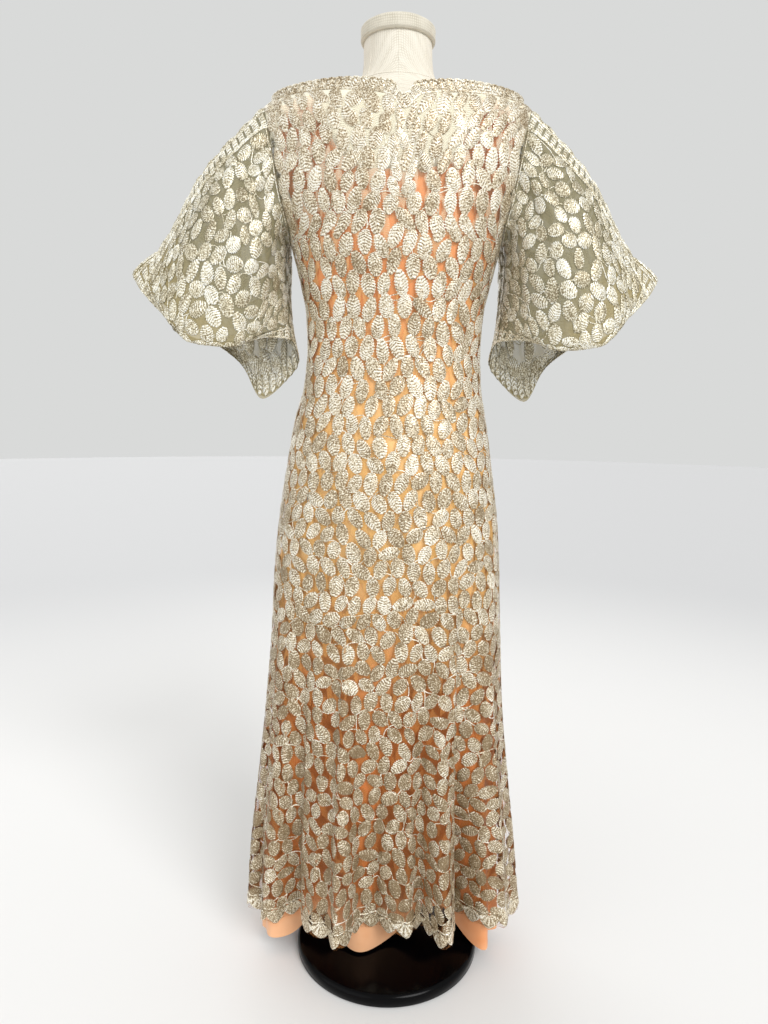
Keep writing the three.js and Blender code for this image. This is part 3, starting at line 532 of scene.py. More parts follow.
def netGround(name, stops, veil, slits):
    # fine twisted silk net: see-through and matt; over the slip it opens in upright slits
    look = {
        "pitch": 2.4, "thread": 0.36, "tall": 1.4, "slitWide": 11, "slitTall": 34, "slit": (0.45, 0.51),
        "scoop": (1.235, 1.265), "scoopReach": 0.13, "scoopSides": 370, "yoke": 0.3,
    }
    material, tree, shader = startMaterial(name, Roughness=0.7)
    flat = addNode(tree, "ShaderNodeUVMap", uv_map="flat").outputs["UV"]
    across, up, _ = splitVector(tree, flat)
    lines = []
    for operation in ("ADD", "SUBTRACT"):
        # real meshes are about 1.2 mm wide; drawn 2.4 mm so that they show
        slant = calc(tree, operation, across, up)
        fold = calc(tree, "PINGPONG", slant, look["pitch"] * toMetres / 2)
        lines.append(calc(tree, "LESS_THAN", fold, look["thread"] * toMetres))
    covered = remap(tree, calc(tree, "MAXIMUM", *lines), 0.0, 1.0, *veil)
    blocks = addNode(
        tree, "ShaderNodeVectorMath",
        {0: flat, 1: (1000 / look["slitWide"], 1000 / look["slitTall"], 1)}, operation="MULTIPLY",
    ).outputs[0]
    closed = remap(tree, noise(tree, blocks, 1.0, 1.0), *look["slit"], 1.0, 1 - slits)
    # above the slip's scoop the net has no slits; the scoop is flat in the middle and steep at its sides
    reach = calc(tree, "MINIMUM", calc(tree, "ABSOLUTE", across), look["scoopReach"])
    lowered = calc(tree, "MULTIPLY_ADD", calc(tree, "POWER", reach, 4), -look["scoopSides"], up)
    yoke = remap(tree, lowered, *look["scoop"])
    cover = calc(tree, "MULTIPLY", covered, calc(tree, "MAXIMUM", closed, yoke))
    # the yoke is made more opaque, so that the net's cream painted light covers the shaded linen under it
    tree.links.new(calc(tree, "MULTIPLY_ADD", yoke, look["yoke"], cover), shader.inputs["Alpha"])
    # the colour runs with height through the stops, which carry painted shade and painted light
    paint(tree, shader, calc(tree, "DIVIDE", up, look["tall"]), stops)
    return material


def peachCrepe():
    # silk crepe, woven with twisted yarn: soft and matt with a faint pebble and a low sheen
    look = {
        "hem": "#eeb486", "low": "#d57c38", "middle": "#f6a264", "waist": "#fdce8a", "pebble": 1.4,
        "blotch": 9.0, "uneven": 0.22, "heights": (0.1, 1.6),
    }
    material, tree, shader = startMaterial(
        "peachCrepe", Roughness=0.62, **{"Sheen Weight": 0.25, "Sheen Roughness": 0.5}
    )
    place = objectPlace(tree)
    height = splitVector(tree, place)[2]
    uneven = calc(tree, "MULTIPLY_ADD", noise(tree, place, look["blotch"], 3.0), look["uneven"], height)
    # the colour runs with height: paler round the waist and hips, and painted darker orange low on the skirt
    # as painted shade under the lace
    paint(tree, shader, remap(tree, uneven, *look["heights"]), [
        (0.035, look["hem"]), (0.08, look["low"]), (0.32, look["low"]), (0.5, look["waist"]),
        (0.64, look["waist"]), (0.76, look["middle"]),
    ])
    linkBump(tree, shader, noise(tree, place, 1000 / look["pebble"], 1.0), 0.0003, 0.5)
    return material


def wovenLinen(name, code, dark):
    # unbleached plain-weave linen, pulled tight on the form: dry, matt, with slubs both ways
    look = {"thread": 1.8, "waveShare": 6.4, "slub": 60.0}
    material, tree, shader = startMaterial(name, Roughness=0.85, **{"Sheen Weight": 0.1})
    flat = addNode(tree, "ShaderNodeUVMap", uv_map="flat").outputs["UV"]
    # linen threads are about 0.6 mm; drawn 1.8 mm so that they show
    scale = 1000 / look["thread"] / look["waveShare"]
    waves = [addNode(
        tree, "ShaderNodeTexWave", {"Vector": flat, "Scale": scale, "Distortion": 1.2, "Detail": 1.0},
        bands_direction=direction,
    ).outputs["Fac"] for direction in ("X", "Y")]
    weave = calc(tree, "MULTIPLY", *waves)
    blend = calc(tree, "ADD", weave, noise(tree, flat, look["slub"], 4.0))
    paint(tree, shader, blend, [(0.2, dark), (0.9, code)])
    linkBump(tree, shader, weave, 0.0002, 0.5)
    return material


def blackEnamel(name, roughness, coat):  # coat is how strongly it mirrors, with 0.5 for bare paint
    # sprayed and baked enamel on steel: deep black, sharp highlights, a few faint rub marks
    look = {"black": "#030304", "rubs": 34.0, "worn": 0.12}
    material, tree, shader = startMaterial(
        name, **{"Base Color": hexColour(look["black"]), "Specular IOR Level": coat}
    )
    rubs = noise(tree, objectPlace(tree), look["rubs"], 5.0)
    rough = remap(tree, rubs, 0.0, 1.0, roughness, roughness + look["worn"])
    tree.links.new(rough, shader.inputs["Roughness"])
    return material


# the gown's thread is painted warmer than the sleeves', as painted bounce light from the peach slip under it
thread = lameThread("lameThread", "#867152", "#ddcfb2", "#fffcf0")
coolThread = lameThread("lameThreadOnNet", "#837659", "#dfd6b9", "#fffff8")
# the net is painted by height: golden over the slip, darker brown toward the hem as painted shade, cream over
# the pale linen of the shoulders as painted light, and olive over air
gownNet = netGround("silkNetOverSlip", [
    (0.02, "#96602c"), (0.26, "#bd7634"), (0.5, "#ebba6c"), (0.78, "#f3bc76"), (0.91, "#fdf5da"),
], (0.14, 0.78), 0.85)
# the sleeve net is painted lighter and warmer near the cuff, as painted light inside the shaded cuff
sleeveNet = netGround("silkNet", [(0.14, "#989070"), (0.19, "#aa9b6e")], (0.6, 0.92), 0.1)
crepe = peachCrepe()
linen = wovenLinen("linenCover", "#efe9db", "#d0c8b6")
capLinen = wovenLinen("linenCap", "#dcd6c6", "#bcb4a1")
print("materials ready")


# the lace's small reliefs, each as lengthwise (a), crosswise (c) and height (h) grids
leaf = {
    "ribs": 9, "dome": 0.9, "rib": 0.6, "midrib": 0.15, "slant": 1.5, "notch": 0.8,
    "columns": [-1, -0.8, 0, 0.8, 1],
}


def leafShape(ribs):
    # rows run slanting from the midrib to the edge, every other one raised as a stitched rib
    rows = np.arange(2 * ribs + 1)
    e = rows / (2 * ribs)
    half = 0.5 * np.sin(np.pi * np.clip(0.03 + 0.94 * e ** 0.88, 0, 1)) ** 0.56
    raised = rows % 2 == 1
    half = half * np.where(raised, 1, leaf["notch"])
    t = np.array(leaf["columns"])
    middle = e ** leaf["slant"]
    a = mix(middle[:, None], e[:, None], np.abs(t)) - 0.5
    dome = leaf["dome"] * (1 - t ** 2) * np.sin(np.pi * e)[:, None]
    cord = leaf["midrib"] * (t == 0)
    ribbed = leaf["rib"] * raised[:, None] * (np.abs(t) < 1) * (t != 0)
    stitch = np.stack(np.broadcast_arrays(t, rows[:, None] / 2), axis=-1)
    return {"a": a, "c": half[:, None] * t, "h": dome + cord + ribbed, "stitch": stitch}


def rungShape():  # a ladder block: a low satin-stitched cushion, longer than it is wide
    t = np.array([-0.5, -0.42, -0.2, 0, 0.2, 0.42, 0.5])
    a, c = np.meshgrid(t, t, indexing="ij")
    cushion = (1 - (2 * a) ** 6) * (1 - (2 * c) ** 4)
    stitched = 0.25 * (np.arange(7) % 2)[None, :] * (np.abs(c) < 0.5)
    stitch = np.stack([np.clip(2 * np.maximum(np.abs(a), np.abs(c)), 0.2, 1), 4 * a + 2.5], axis=-1)
    return {"a": a, "c": c, "h": 1.3 * cushion + stitched * (np.abs(a) < 0.5), "stitch": stitch}


def fanShape():  # a scallop's fan: round at the outer end, with stitched ribs
    turns = np.linspace(-1.35, 1.35, 11)
    reach = np.array([0.12, 0.45, 0.8, 0.92, 1.0])
    a = reach[:, None] * np.cos(turns) - 0.4
    c = 0.5 * reach[:, None] * np.sin(turns) * 1.15
    ribbed = 0.6 * (np.arange(11) % 2)[None, :] * (reach < 0.85)[:, None]
    edge = np.array([0.4, 0.8, 0.6, 1.5, 0.1])[:, None]
    stitch = np.stack(np.broadcast_arrays(np.maximum(0.2, reach)[:, None], np.arange(11) / 2), axis=-1)
    return {"a": a, "c": c, "h": edge + ribbed, "stitch": stitch}


def turnedOver(shape):  # the same relief standing out of the cloth's inner face
    return {**shape, "h": -shape["h"]}


# height on the cloth, pitch across, pitch up, leaf length and width, how far leaves lean, and how much
# painted shade darkens them: the skirt's are painted darker toward the hem, where they hang clear of the pale
# slip
gownLeaves = table(
    "rise across up length width lean shade",
    (0, 28, 28.5, 31.5, 24.5, 40, 0.34), (300, 27, 28.5, 31.5, 24.5, 36, 0.28),
    (600, 27, 28.5, 32, 24.5, 32, 0.12), (800, 26, 29, 33, 24.5, 26, 0.05),
    (1000, 26.6, 32, 36, 24.2, 16, 0.02), (1250, 27, 32.5, 36.5, 24.4, 17, 0),
    (1400, 26, 30, 33, 25, 34, 0.03),
)
sleeveLeaves = table(
    "rise across up length width lean shade",
    (0, 25, 25.5, 28, 22, 50, 0.03), (400, 25, 25.5, 28, 22, 50, 0.03),
)
# how leaves are laid: strewn by two even steps, moved a little aside and up, and pushed apart in rounds
packing = {
    "end": 16, "strewn": (0.7549, 0.5698), "aside": 4.5, "upward": 4, "length": (0.88, 1.1),
    "width": (0.86, 1.06), "turned": 0.6, "rounds": 45, "apart": 1.06, "push": 7, "tone": (0.5, 0.07),
}


def leafRows(cloth, low, high, sizes):
    levels, meanRise = np.linspace(0, 1, len(cloth["width"])), cloth["rise"].mean(1)
    share, level, heights = [], [], [low]
    while heights[-1] < high:
        heights.append(heights[-1] + float(along(sizes, "rise", "up", heights[-1])))
    heights = np.interp(heights, [low, heights[-1]], [low + packing["end"], high - packing["end"]])
    for row, height in enumerate(heights):
        width = float(np.interp(height, meanRise, cloth["width"]))
        count = max(2, round(width / float(along(sizes, "rise", "across", height))))
        # every other row starts at the seams, so that they are covered too
        share.append(np.linspace(0, 1, count + 1) if row % 2 else centres(count))
        level.append(np.full(len(share[-1]), np.interp(height, meanRise, levels)))
    return np.concatenate(share), np.concatenate(level)


def strewnLeaves(cloth, low, high, sizes):
    # a sequence that fills a square evenly, bent to the cloth's own width and length
    area = cloth["width"].mean() * (high - low)
    count = np.arange(round(area / float(sizes["across"][0] * sizes["up"][0])))
    places = []
    for sizeThere, step in zip((cloth["rise"][-1], cloth["width"]), packing["strewn"]):
        run = np.concatenate([[0], np.cumsum(sizeThere[1:] + sizeThere[:-1])])
        places.append(np.interp((count * step + 0.5) % 1, run / run[-1], np.linspace(0, 1, len(run))))
    return places


def packLeaves(cloth, low, high, sizes, laid):
    # leaves at the lace's own pitch, laid in rows or strewn, then each pushed off its neighbours
    levels = np.linspace(0, 1, len(cloth["width"]))
    shares = np.linspace(0, 1, cloth["rise"].shape[1])
    meanRise = cloth["rise"].mean(1)
    share, level = laid(cloth, low, high, sizes)
    count = len(share)
    share = share + random.normal(0, packing["aside"], count) / clothWidth(cloth, level)
    level = level + random.normal(0, packing["upward"], count) / cloth["tall"]
    rise = np.interp(level, levels, meanRise)
    size = {key: along(sizes, "rise", key, rise) for key in ("length", "width", "lean", "shade")}
    length = size["length"] * random.uniform(*packing["length"], count)
    width = size["width"] * random.uniform(*packing["width"], count)
    lean = np.radians(random.normal(0, size["lean"], count))
    angle = lean + np.pi * (random.random(count) < packing["turned"])
    sine, cosine = np.sin(angle), np.cos(angle)
    tallHalf = 0.5 * np.hypot(length * cosine, width * sine)
    wideHalf = 0.5 * np.hypot(length * sine, width * cosine)
    ends = np.interp([low, high], meanRise, levels)
    for _ in range(packing["rounds"]):
        across, tall = clothWidth(cloth, level), np.interp(share, shares, cloth["rise"][-1])
        dx = (share[:, None] - share) * (across[:, None] + across) / 2
        dy = (level[:, None] - level) * (tall[:, None] + tall) / 2
        reach = np.zeros_like(dx)
        for s, c, own, other in (
            (sine[:, None], cosine[:, None], length[:, None], width[:, None]), (sine, cosine, length, width)
        ):
            reach += np.hypot((dx * s + dy * c) / own, (dx * c - dy * s) / other)
        near = np.clip(packing["apart"] - reach / 2, 0, None) / np.maximum(np.hypot(dx, dy), 0.1)
        np.fill_diagonal(near, 0)
        share = share + (near * dx).sum(1) * packing["push"] / across
        level = level + (near * dy).sum(1) * packing["push"] / tall
        share = np.clip(share, wideHalf / across, 1 - wideHalf / across)
        level = np.clip(level, ends[0] + tallHalf / tall, ends[1] - tallHalf / tall)
    # each leaf's random tone, less the painted shade for its height
    tone = random.normal(*packing["tone"], count) - size["shade"]
    return {
        "share": share, "level": level, "angle": angle, "length": length, "width": width, "tone": tone,
    }


def stitchesOf(shape, tones):  # a shape's stitches for each place it is laid at, with the place's tone
    rows, columns = shape["a"].shape
    stitches = np.empty((len(tones), rows, columns, 3))
    stitches[..., :2] = shape["stitch"]
    stitches[..., 2] = tones[:, None, None]
    return stitches


def leavesOn(cloth, sites, shape, lift, paler=0):  # one relief at each site
    spots = [sites[key] for key in ("share", "level", "angle", "length", "width")]
    leaves = placeShapes(cloth, shape, *spots, lift)
    return leaves, patchFaces(len(leaves), *shape["a"].shape), stitchesOf(shape, sites["tone"] + paler)


stem = {"foot": 0.48, "gap": (4, 52), "bend": 0.35, "points": 7, "radius": 0.8, "lift": 0.6}


def stemsOn(cloth, sites):
    # a curved stem from each leaf's foot to the foot of its nearest neighbour, and some to a second
    across, tall = clothWidth(cloth, sites["level"]), cloth["tall"]
    foot = stem["foot"] * sites["length"]
    footShare = sites["share"] - foot * np.sin(sites["angle"]) / across
    footLevel = sites["level"] - foot * np.cos(sites["angle"]) / tall
    dx = (footShare[:, None] - footShare) * across
    gap = np.hypot(dx, (footLevel[:, None] - footLevel) * tall)
    np.fill_diagonal(gap, 1e6)
    order = np.argsort(gap, axis=1)
    own = np.arange(len(gap))
    start = np.concatenate([own, own[::2]])
    end = np.concatenate([order[:, 0], order[::2, 1]])
    keep = (gap[start, end] < stem["gap"][1]) & (gap[start, end] > stem["gap"][0])
    start, end = start[keep], end[keep]
    t = np.linspace(0, 1, stem["points"])
    bend = stem["bend"] * gap[start, end]
    pulls = []
    for values, scale, wave in ((footShare, across, np.sin), (footLevel, tall, np.cos)):
        scale = np.broadcast_to(scale, len(gap))
        heads = values[start] - bend * wave(sites["angle"][start]) / scale[start]
        tails = values[end] - bend * wave(sites["angle"][end]) / scale[end]
        pulls.append(
            values[start][:, None] * (1 - t) ** 3 + 3 * heads[:, None] * t * (1 - t) ** 2
            + 3 * tails[:, None] * t ** 2 * (1 - t) + values[end][:, None] * t ** 3
        )
    stems = placeCords(cloth, *pulls, stem["radius"], stem["lift"], threadProfile)
    return stems, patchFaces(len(stems), *stems.shape[1:3]), cordStitch


# the gown's back and front

def gownPanel(inFront):
    middle = 180 if inFront else 0
    top = bodiceRows["rise"][-1]
    spread = np.linspace(-1, 1, 901)
    heights = np.linspace(gown["hem"], gown["bodiceStart"], gown["rows"])
    turns = middle + panelEdge(heights, inFront)[:, None] * spread
    heights = np.repeat(heights[:, None], len(spread), axis=1)
    rises = np.linspace(0, top, gown["bodiceRows"] + 1)[1:, None]
    sides = along(bodiceRows, "rise", "side", rises)
    upperTurns = middle + panelEdge(sides, inFront) * spread
    neck = belowNeck(middle + 90 * spread, [gown["borderWidth"]])[:, 0]
    necks = np.stack([np.interp(row, middle + 90 * spread, neck) for row in upperTurns])
    centre = mix(gown["bodiceStart"] + rises, necks - top + rises, smoothstep(rises, *gown["toNeck"]))
    toSide = smoothstep(np.abs(np.sin(np.radians(upperTurns))), *gown["toSide"])
    upper = mix(centre, sides, toSide * (1 - smoothstep(rises, gown["toTop"], top)))
    raw = gownPoint(np.concatenate([turns, upperTurns]), np.concatenate([heights, upper]), 1)
    points = evenRows(raw, gown["columns"])
    scallops = round(runOf(points[0])[-1] / gown["scallopPitch"])
    share = np.linspace(0, 1, gown["columns"])
    points[0, :, 2] += gown["scallop"] / 2 - gown["scallop"] * np.abs(np.sin(np.pi * share * scallops))
    return makeCloth(points) | {"scallops": scallops}


laceCords = {"radius": 1.3, "bead": 0.35, "beadPitch": 4, "lift": 0.6}


def cordOn(cloth, share, level, radius, lift):  # one round cord, laid on the cloth
    cord = placeCords(cloth, share[None], level[None], radius, lift, cordProfile)
    return cord, patchFaces(1, len(level), len(cordProfile)), cordStitch


def beadCount(length):
    return max(12, int(length / laceCords["beadPitch"] * 2))


def beadedCord(cloth, share, level, radius):
    beads = radius * (1 + laceCords["bead"] * (np.arange(len(level)) % 2))
    return cordOn(cloth, share, level, beads, laceCords["lift"])


def edgeCord(cloth, level, wave=0, pitch=16, radius=laceCords["radius"]):  # across the cloth
    width = float(clothWidth(cloth, level))
    run = np.linspace(0, width, beadCount(width))
    up = level + wave * np.abs(np.sin(np.pi * run / pitch)) / cloth["tall"]
    return beadedCord(cloth, run / width, up, radius)


def lengthCord(cloth, offset, wave=0, pitch=13, radius=laceCords["radius"]):
    # along the cloth, a given length off its middle line
    level = np.linspace(0, 1, beadCount(cloth["tall"]))
    beside = offset + wave * np.abs(np.sin(np.pi * level * cloth["tall"] / pitch))
    return beadedCord(cloth, 0.5 + beside / clothWidth(cloth, level), level, radius)


def scattered(cloth, shape, share, level, angle, length, width, lift=1.0, tone=0.5):
    spots = [np.broadcast_to(np.asarray(v, float), np.shape(share)) for v in (level, angle, length, width)]
    placed = placeShapes(cloth, shape, np.asarray(share, float), *spots, lift)
    stitches = stitchesOf(shape, tone + random.normal(0, 0.05, len(placed)))
    return placed, patchFaces(len(placed), *shape["a"].shape), stitches


def neckBorder(inFront):  # on the last 23 mm of a panel, below the neckline
    border = {"ribs": 5, "pitch": 12.5, "lean": 0.5, "length": 21, "width": 11.5}
    turns = (180 if inFront else 0) + np.linspace(-90, 90, 401)
    heights = belowNeck(turns, np.linspace(gown["borderWidth"], 0, 9)).T
    cloth = makeCloth(evenRows(gownPoint(turns, heights), 200))
    backing = cloth["points"] + cloth["out"] * 0.5
    share = centres(int(clothWidth(cloth, 0.5) / border["pitch"]))
    lean = border["lean"] * np.where(share < 0.5, 1, -1)
    return [
        (backing, gridFaces(*backing.shape[:2]), dullStitch),
        scattered(cloth, leafShape(border["ribs"]), share, 0.5, lean, border["length"], border["width"]),
        edgeCord(cloth, 0.04), edgeCord(cloth, 0.9, wave=2.2, pitch=border["pitch"]),
    ]


panels = {}
for name, inFront in (("back", False), ("front", True)):
    title = name.title()
    cloth = gownPanel(inFront)
    sites = packLeaves(cloth, 18, cloth["tall"], gownLeaves, leafRows)
    shell = addShell("gown" + title, cloth, gownNet, ["gown_" + name])
    leaves, stems = leavesOn(cloth, sites, leafShape(leaf["ribs"]), 0.7), stemsOn(cloth, sites)
    print("gown" + title, "has", len(leaves[0]), "leaves and", len(stems[0]), "stems")
    extras = [
        addTrim("gown" + title + "Leaves", [leaves], thread),
        addTrim("gown" + title + "Stems", [stems], thread),
    ]
    extras.append(addTrim("gownHem" + title, [
        scattered(cloth, fanShape(), centres(cloth["scallops"]), 0.0125, np.pi, 27, 35, 1.2, 0.42),
        edgeCord(cloth, 0.0205, radius=1.1),
    ], thread))
    extras.append(addTrim("neckBorder" + title, neckBorder(inFront), thread, ["neck_border_" + name]))
    panels[name] = {"shell": shell, "extras": extras}
print("gown made")


# the under-slip's back and front

def ridgeHeight(across):  # height at which the slip's shoulder ridge is that far across
    heights = np.linspace(*slip["ridge"], 400)
    half = along(formRows, "height", "half", formLevel(heights)) + formReach(heights)
    return np.interp(across, half, heights)


def slipPanel(inFront):
    middle = 180 if inFront else 0
    strapEdge = panelEdge(slip["strapStart"], inFront)
    heights = np.linspace(slip["hem"], slip["strapStart"], slip["rows"])
    spread = np.linspace(-1, 1, 601)
    turns = middle + panelEdge(heights, inFront)[:, None] * spread
    levels = np.repeat(heights[:, None], len(spread), axis=1)
    lift = sum(rise * bell(turns[0], at, width) for at, width, depth, rise in zip(*slipFolds.values()))
    levels = levels + lift * (1 - smoothstep(levels, slip["hem"], slip["hemLift"]))
    points = evenRows(slipPoint(turns, levels), slip["columns"])
    # the top runs along the scoop, and then over the strap's end
    share = np.linspace(-1, 1, slip["columns"])
    away = np.abs(share)
    low = slip["scoopFront" if inFront else "scoopBack"]
    inner = ridgeHeight(slip["strapInner"])
    scoopAcross = slip["strapInner"] * np.sin(np.pi / 2 * np.minimum(1, away / slip["strapShare"]))
    scoopHeight = low + (inner - low) * (scoopAcross / slip["strapInner"]) ** 4
    strapShare = (away - slip["strapShare"]) / (1 - slip["strapShare"])
    strapAcross = mix(slip["strapInner"], slip["strapOuter"], strapShare)
    inScoop = away <= slip["strapShare"]
    across = np.where(inScoop, scoopAcross, strapAcross)
    top = np.where(inScoop, scoopHeight, ridgeHeight(strapAcross))
    run = runOf(slipPoint(middle + strapEdge * spread, slip["strapStart"]))
    start = np.interp(np.linspace(0, 1, slip["columns"]), run / run[-1], spread) * strapEdge
    rows = []
    for t in np.linspace(0, 1, slip["strapRows"] + 1)[1:]:
        height = mix(slip["strapStart"], top, math.sin(t * math.pi / 2))
        level = formLevel(height)
        half = along(formRows, "height", "half", level) + formReach(height)
        reach = np.minimum(1, across / half) ** (along(formRows, "height", "power", level) / 2)
        end = np.degrees(np.arcsin(reach)) * np.sign(share)
        rows.append(slipPoint(middle + mix(start, end, min(1, t * slip["strapTurn"])), height))
    return makeCloth(np.concatenate([points, np.stack(rows)]))


for name, inFront in (("back", False), ("front", True)):
    cloth = slipPanel(inFront)
    # the hem is turned up 14 mm, so its last rows stand a little out
    cloth["points"][:2] += cloth["out"][:2] * 0.5
    title = "slip" + name.title()
    panels[title] = addShell(title, cloth, crepe, ["slip_" + name])
print("slip made")


# the sleeves, with their over-arm bands and cuff borders

def armholeEdge(turn, side):
    inFront = math.sin(math.radians(turn)) < 0
    height = armhole["middle"] + armhole["reach"] * math.cos(math.radians(turn))
    edge = panelEdge(armholeRows, inFront)
    corners = gownPoint(side * (180 - edge if inFront else edge), armholeRows)
    point = pointsAt(height, armholeRows, corners)
    inward = np.array([side * armhole["across"], 0, armhole["middle"]]) - point
    return point + inward / np.linalg.norm(inward) * armhole["clear"]


def sleeveRing(side):  # the whole sleeve: rows run from the armhole to the cuff, columns are whole turns
    dense = np.linspace(0, 1, sleeve["rows"] * 3)
    columns = []
    for turn in range(361):
        at = {key: float(along(sleeveRows, "turn", key, turn)) for key in sleeveRows}
        sine, cosine = math.sin(math.radians(turn)), math.cos(math.radians(turn))
        start = armholeEdge(turn, side)
        low, hem = (np.array([at[row + "X"] * side, at[row + "Y"], at[row + "Z"]]) for row in ("low", "hem"))
        seam = start + [side * (sleeve["capOut"] + cosine), -2.5 * sine, -sleeve["capDrop"] - 3.5 * cosine]
        puff = [side * (sleeve["puffOut"] + 4 * cosine), -sleeve["puffDepth"] * sine, 5]
        middle = (start + low) / 2 + puff
        knots = np.stack([start, seam, middle, low, hem])
        line = {"place": sleeve["places"], 0: knots[:, 0], 1: knots[:, 1], 2: knots[:, 2]}
        points = np.stack([along(line, "place", k, dense) for k in range(3)], axis=1)
        wave = sleeve["wave"] * math.sin(math.radians(turn * sleeve["waves"]))
        points[:, 1] -= wave * np.sin(np.pi * dense) ** 2 * sine
        columns.append(points)
    points = np.stack(columns, axis=1)
    run = np.concatenate([[0], np.cumsum(np.linalg.norm(np.diff(points, axis=0), axis=2).mean(1))])
    rows = np.interp(np.linspace(0, run[-1], sleeve["rows"]), run, np.arange(len(dense)))
    under = np.minimum(rows.astype(int), len(dense) - 2)
    ring = makeCloth(mix(points[under], points[under + 1], (rows - under)[:, None, None]))
    turns, levels = np.arange(361)[None, :], np.interp(rows, np.arange(len(dense)), dense)[:, None]
    lift = sum(
        out * np.exp(-((wrapTurn(turns - at) / width) ** 2) - ((levels - share) / length) ** 2)
        for at, share, width, length, out in zip(*sleeveFolds.values())
    ) * np.clip(levels / sleeve["foldStart"], 0, 1)
    # the cord along the over-arm line draws it up in low scallops
    scallops = np.abs(np.sin(np.pi * levels * sleeve["puckers"]))
    lift = lift + sleeve["pucker"] * scallops * bell(turns, 0, sleeve["puckerTurns"])
    return ring["points"] + ring["out"] * (side * lift)[..., None]


def ringPart(ring, ends, columns, side):
    # the part of a sleeve between two ends, each a turn and a length beyond it, evenly spread
    rows = []
    for row in np.concatenate([ring[:, :-1], ring], axis=1):
        run = runOf(row)
        run -= run[360]
        wanted = [run[360 + turn] + beyond for turn, beyond in sorted(ends)]
        rows.append(pointsAt(np.linspace(*wanted, columns), run, row))
    points = np.stack(rows)
    return makeCloth(points if side > 0 else points[:, ::-1])


for sideName, side in (("Left", -1), ("Right", 1)):
    ring = sleeveRing(side)
    panels["sleeve" + sideName] = {}
    for half, underarm in (("back", 180), ("front", -180)):
        cloth = ringPart(ring, [(0, 0), (underarm, 0)], sleeve["columns"], side)
        beside = math.copysign(sleeve["bandWidth"], underarm)
        motifs = ringPart(ring, [(0, beside), (underarm, 0)], sleeve["columns"], side)
        top = motifs["tall"] - sleeve["cuffWidth"] + sleeve["overlap"]
        sites = packLeaves(motifs, sleeve["lowStart"], top, sleeveLeaves, strewnLeaves)
        title = sideName + half.title()
        node = f"_{sideName.lower()}_{half}"
        shell = addShell("sleeve" + title, cloth, sleeveNet, ["sleeve" + node])
        # toward the cuff the leaves show on the inner face too, painted a little darker there as painted
        # shade inside the sleeve
        nearCuff = {key: values[sites["level"] > sleeve["innerFrom"]] for key, values in sites.items()}
        shape = leafShape(leaf["ribs"])
        leaves = addTrim("sleeve" + title + "Leaves", [
            leavesOn(motifs, sites, shape, 0.9), leavesOn(motifs, nearCuff, turnedOver(shape), -0.9, -0.05),
            stemsOn(motifs, sites), edgeCord(motifs, 0.012, radius=0.8),
        ], coolThread)
        cuffLow = 1 - sleeve["cuffWidth"] / motifs["tall"]
        spots = (centres(int(clothWidth(motifs, 1.0) / 15)), (1 + cuffLow) / 2, 0.35, 20, 14)
        cuff = addTrim("cuff" + title, [
            scattered(motifs, leafShape(5), *spots),
            scattered(motifs, turnedOver(leafShape(5)), *spots, -0.9),
            edgeCord(motifs, cuffLow + 0.01), edgeCord(motifs, 0.985, wave=1.5, pitch=15, radius=1.6),
        ], coolThread, ["cuff" + node])
        panels["sleeve" + sideName][half] = {"shell": shell, "extras": [leaves, cuff]}
        print("sleeve" + title, "has", len(sites["share"]), "leaves")

    width = sleeve["bandWidth"]
    band = ringPart(ring, [(0, -width), (0, width)], sleeve["bandColumns"], side)
    blockLevel = centres(int(band["tall"] / armBand["blockPitch"]))
    bandParts = []
    for beside in (-1, 1):
        blockShare = 0.5 + armBand["block"] * beside / clothWidth(band, blockLevel)
        bandParts.append(scattered(
            band, rungShape(), blockShare, blockLevel, np.pi / 2 + 0.12 * beside, armBand["blockLength"],
            armBand["blockWidth"], 0.9,
        ))
        bandParts += [lengthCord(band, place * beside) for place in armBand["cords"]]
        bandParts += [
            lengthCord(band, place * beside, wave=2.6 * beside, radius=1.1) for place in armBand["scallops"]
        ]
    # a scalloped ridge of small fans runs down the over-arm line
    fanLevel = centres(int(band["tall"] / armBand["fanPitch"]))
    for beside in (-1, 1):
        fanShare = np.full(len(fanLevel), 0.5 + armBand["fan"] * beside / (2 * width))
        bandParts.append(scattered(band, fanShape(), fanShare, fanLevel, beside * np.pi / 2, 11, 15, 1.4))
    bandParts.append(lengthCord(band, 0, radius=1.6))
    panels["band" + sideName] = addTrim(
        "armBand" + sideName, bandParts, coolThread, ["arm_band_" + sideName.lower()]
    )
print("sleeves made")


# the dress form: torso with its seams, neck cap, pole and base

def turnedPiece(name, profile, segments, material, nodes):
    angles = np.radians(np.linspace(0, 360, segments + 1))
    radius, height = np.array(profile, float).T
    points = np.stack([
        radius[:, None] * np.sin(angles), -radius[:, None] * np.cos(angles),
        np.repeat(height[:, None], len(angles), axis=1),
    ], axis=-1)
    rise = np.repeat(runOf(np.array(profile, float))[:, None], len(angles), axis=1)
    cloth = {"width": 2 * np.pi * np.maximum(radius, 20), "points": points, "rise": rise}
    return addShell(name, cloth, material, nodes)


def arc(radiusAt, heightAt, size, first, last, count):  # profile points on a quarter or half round
    angles = np.radians(np.linspace(first, last, count))
    return [(radiusAt + size * math.cos(t), heightAt + size * math.sin(t)) for t in angles]


heights = np.concatenate([
    np.linspace(form["bottom"], 1425, 80), np.linspace(1430, 1470, 21), np.linspace(1473, form["top"], 18)
])
turns = np.linspace(0, 360, form["columns"] + 1)
torso = ovalPoint(formRows, turns[None, :], heights[:, None])
torso[0, :, :2] *= form["rounding"]
# the ends are drawn in almost to a point
ends = torso[[0, -1]] * [form["endShare"], form["endShare"], 1]
torsoCloth = makeCloth(torso)
whole = np.concatenate([ends[:1], torso, ends[1:]])
flat = flatOf(torsoCloth)
flat = np.concatenate([flat[:1] - 0.1, flat, flat[-1:] + 0.05])
addPiece("formTorso", whole, gridFaces(*whole.shape[:2]), linen, ["form_torso"], flat)

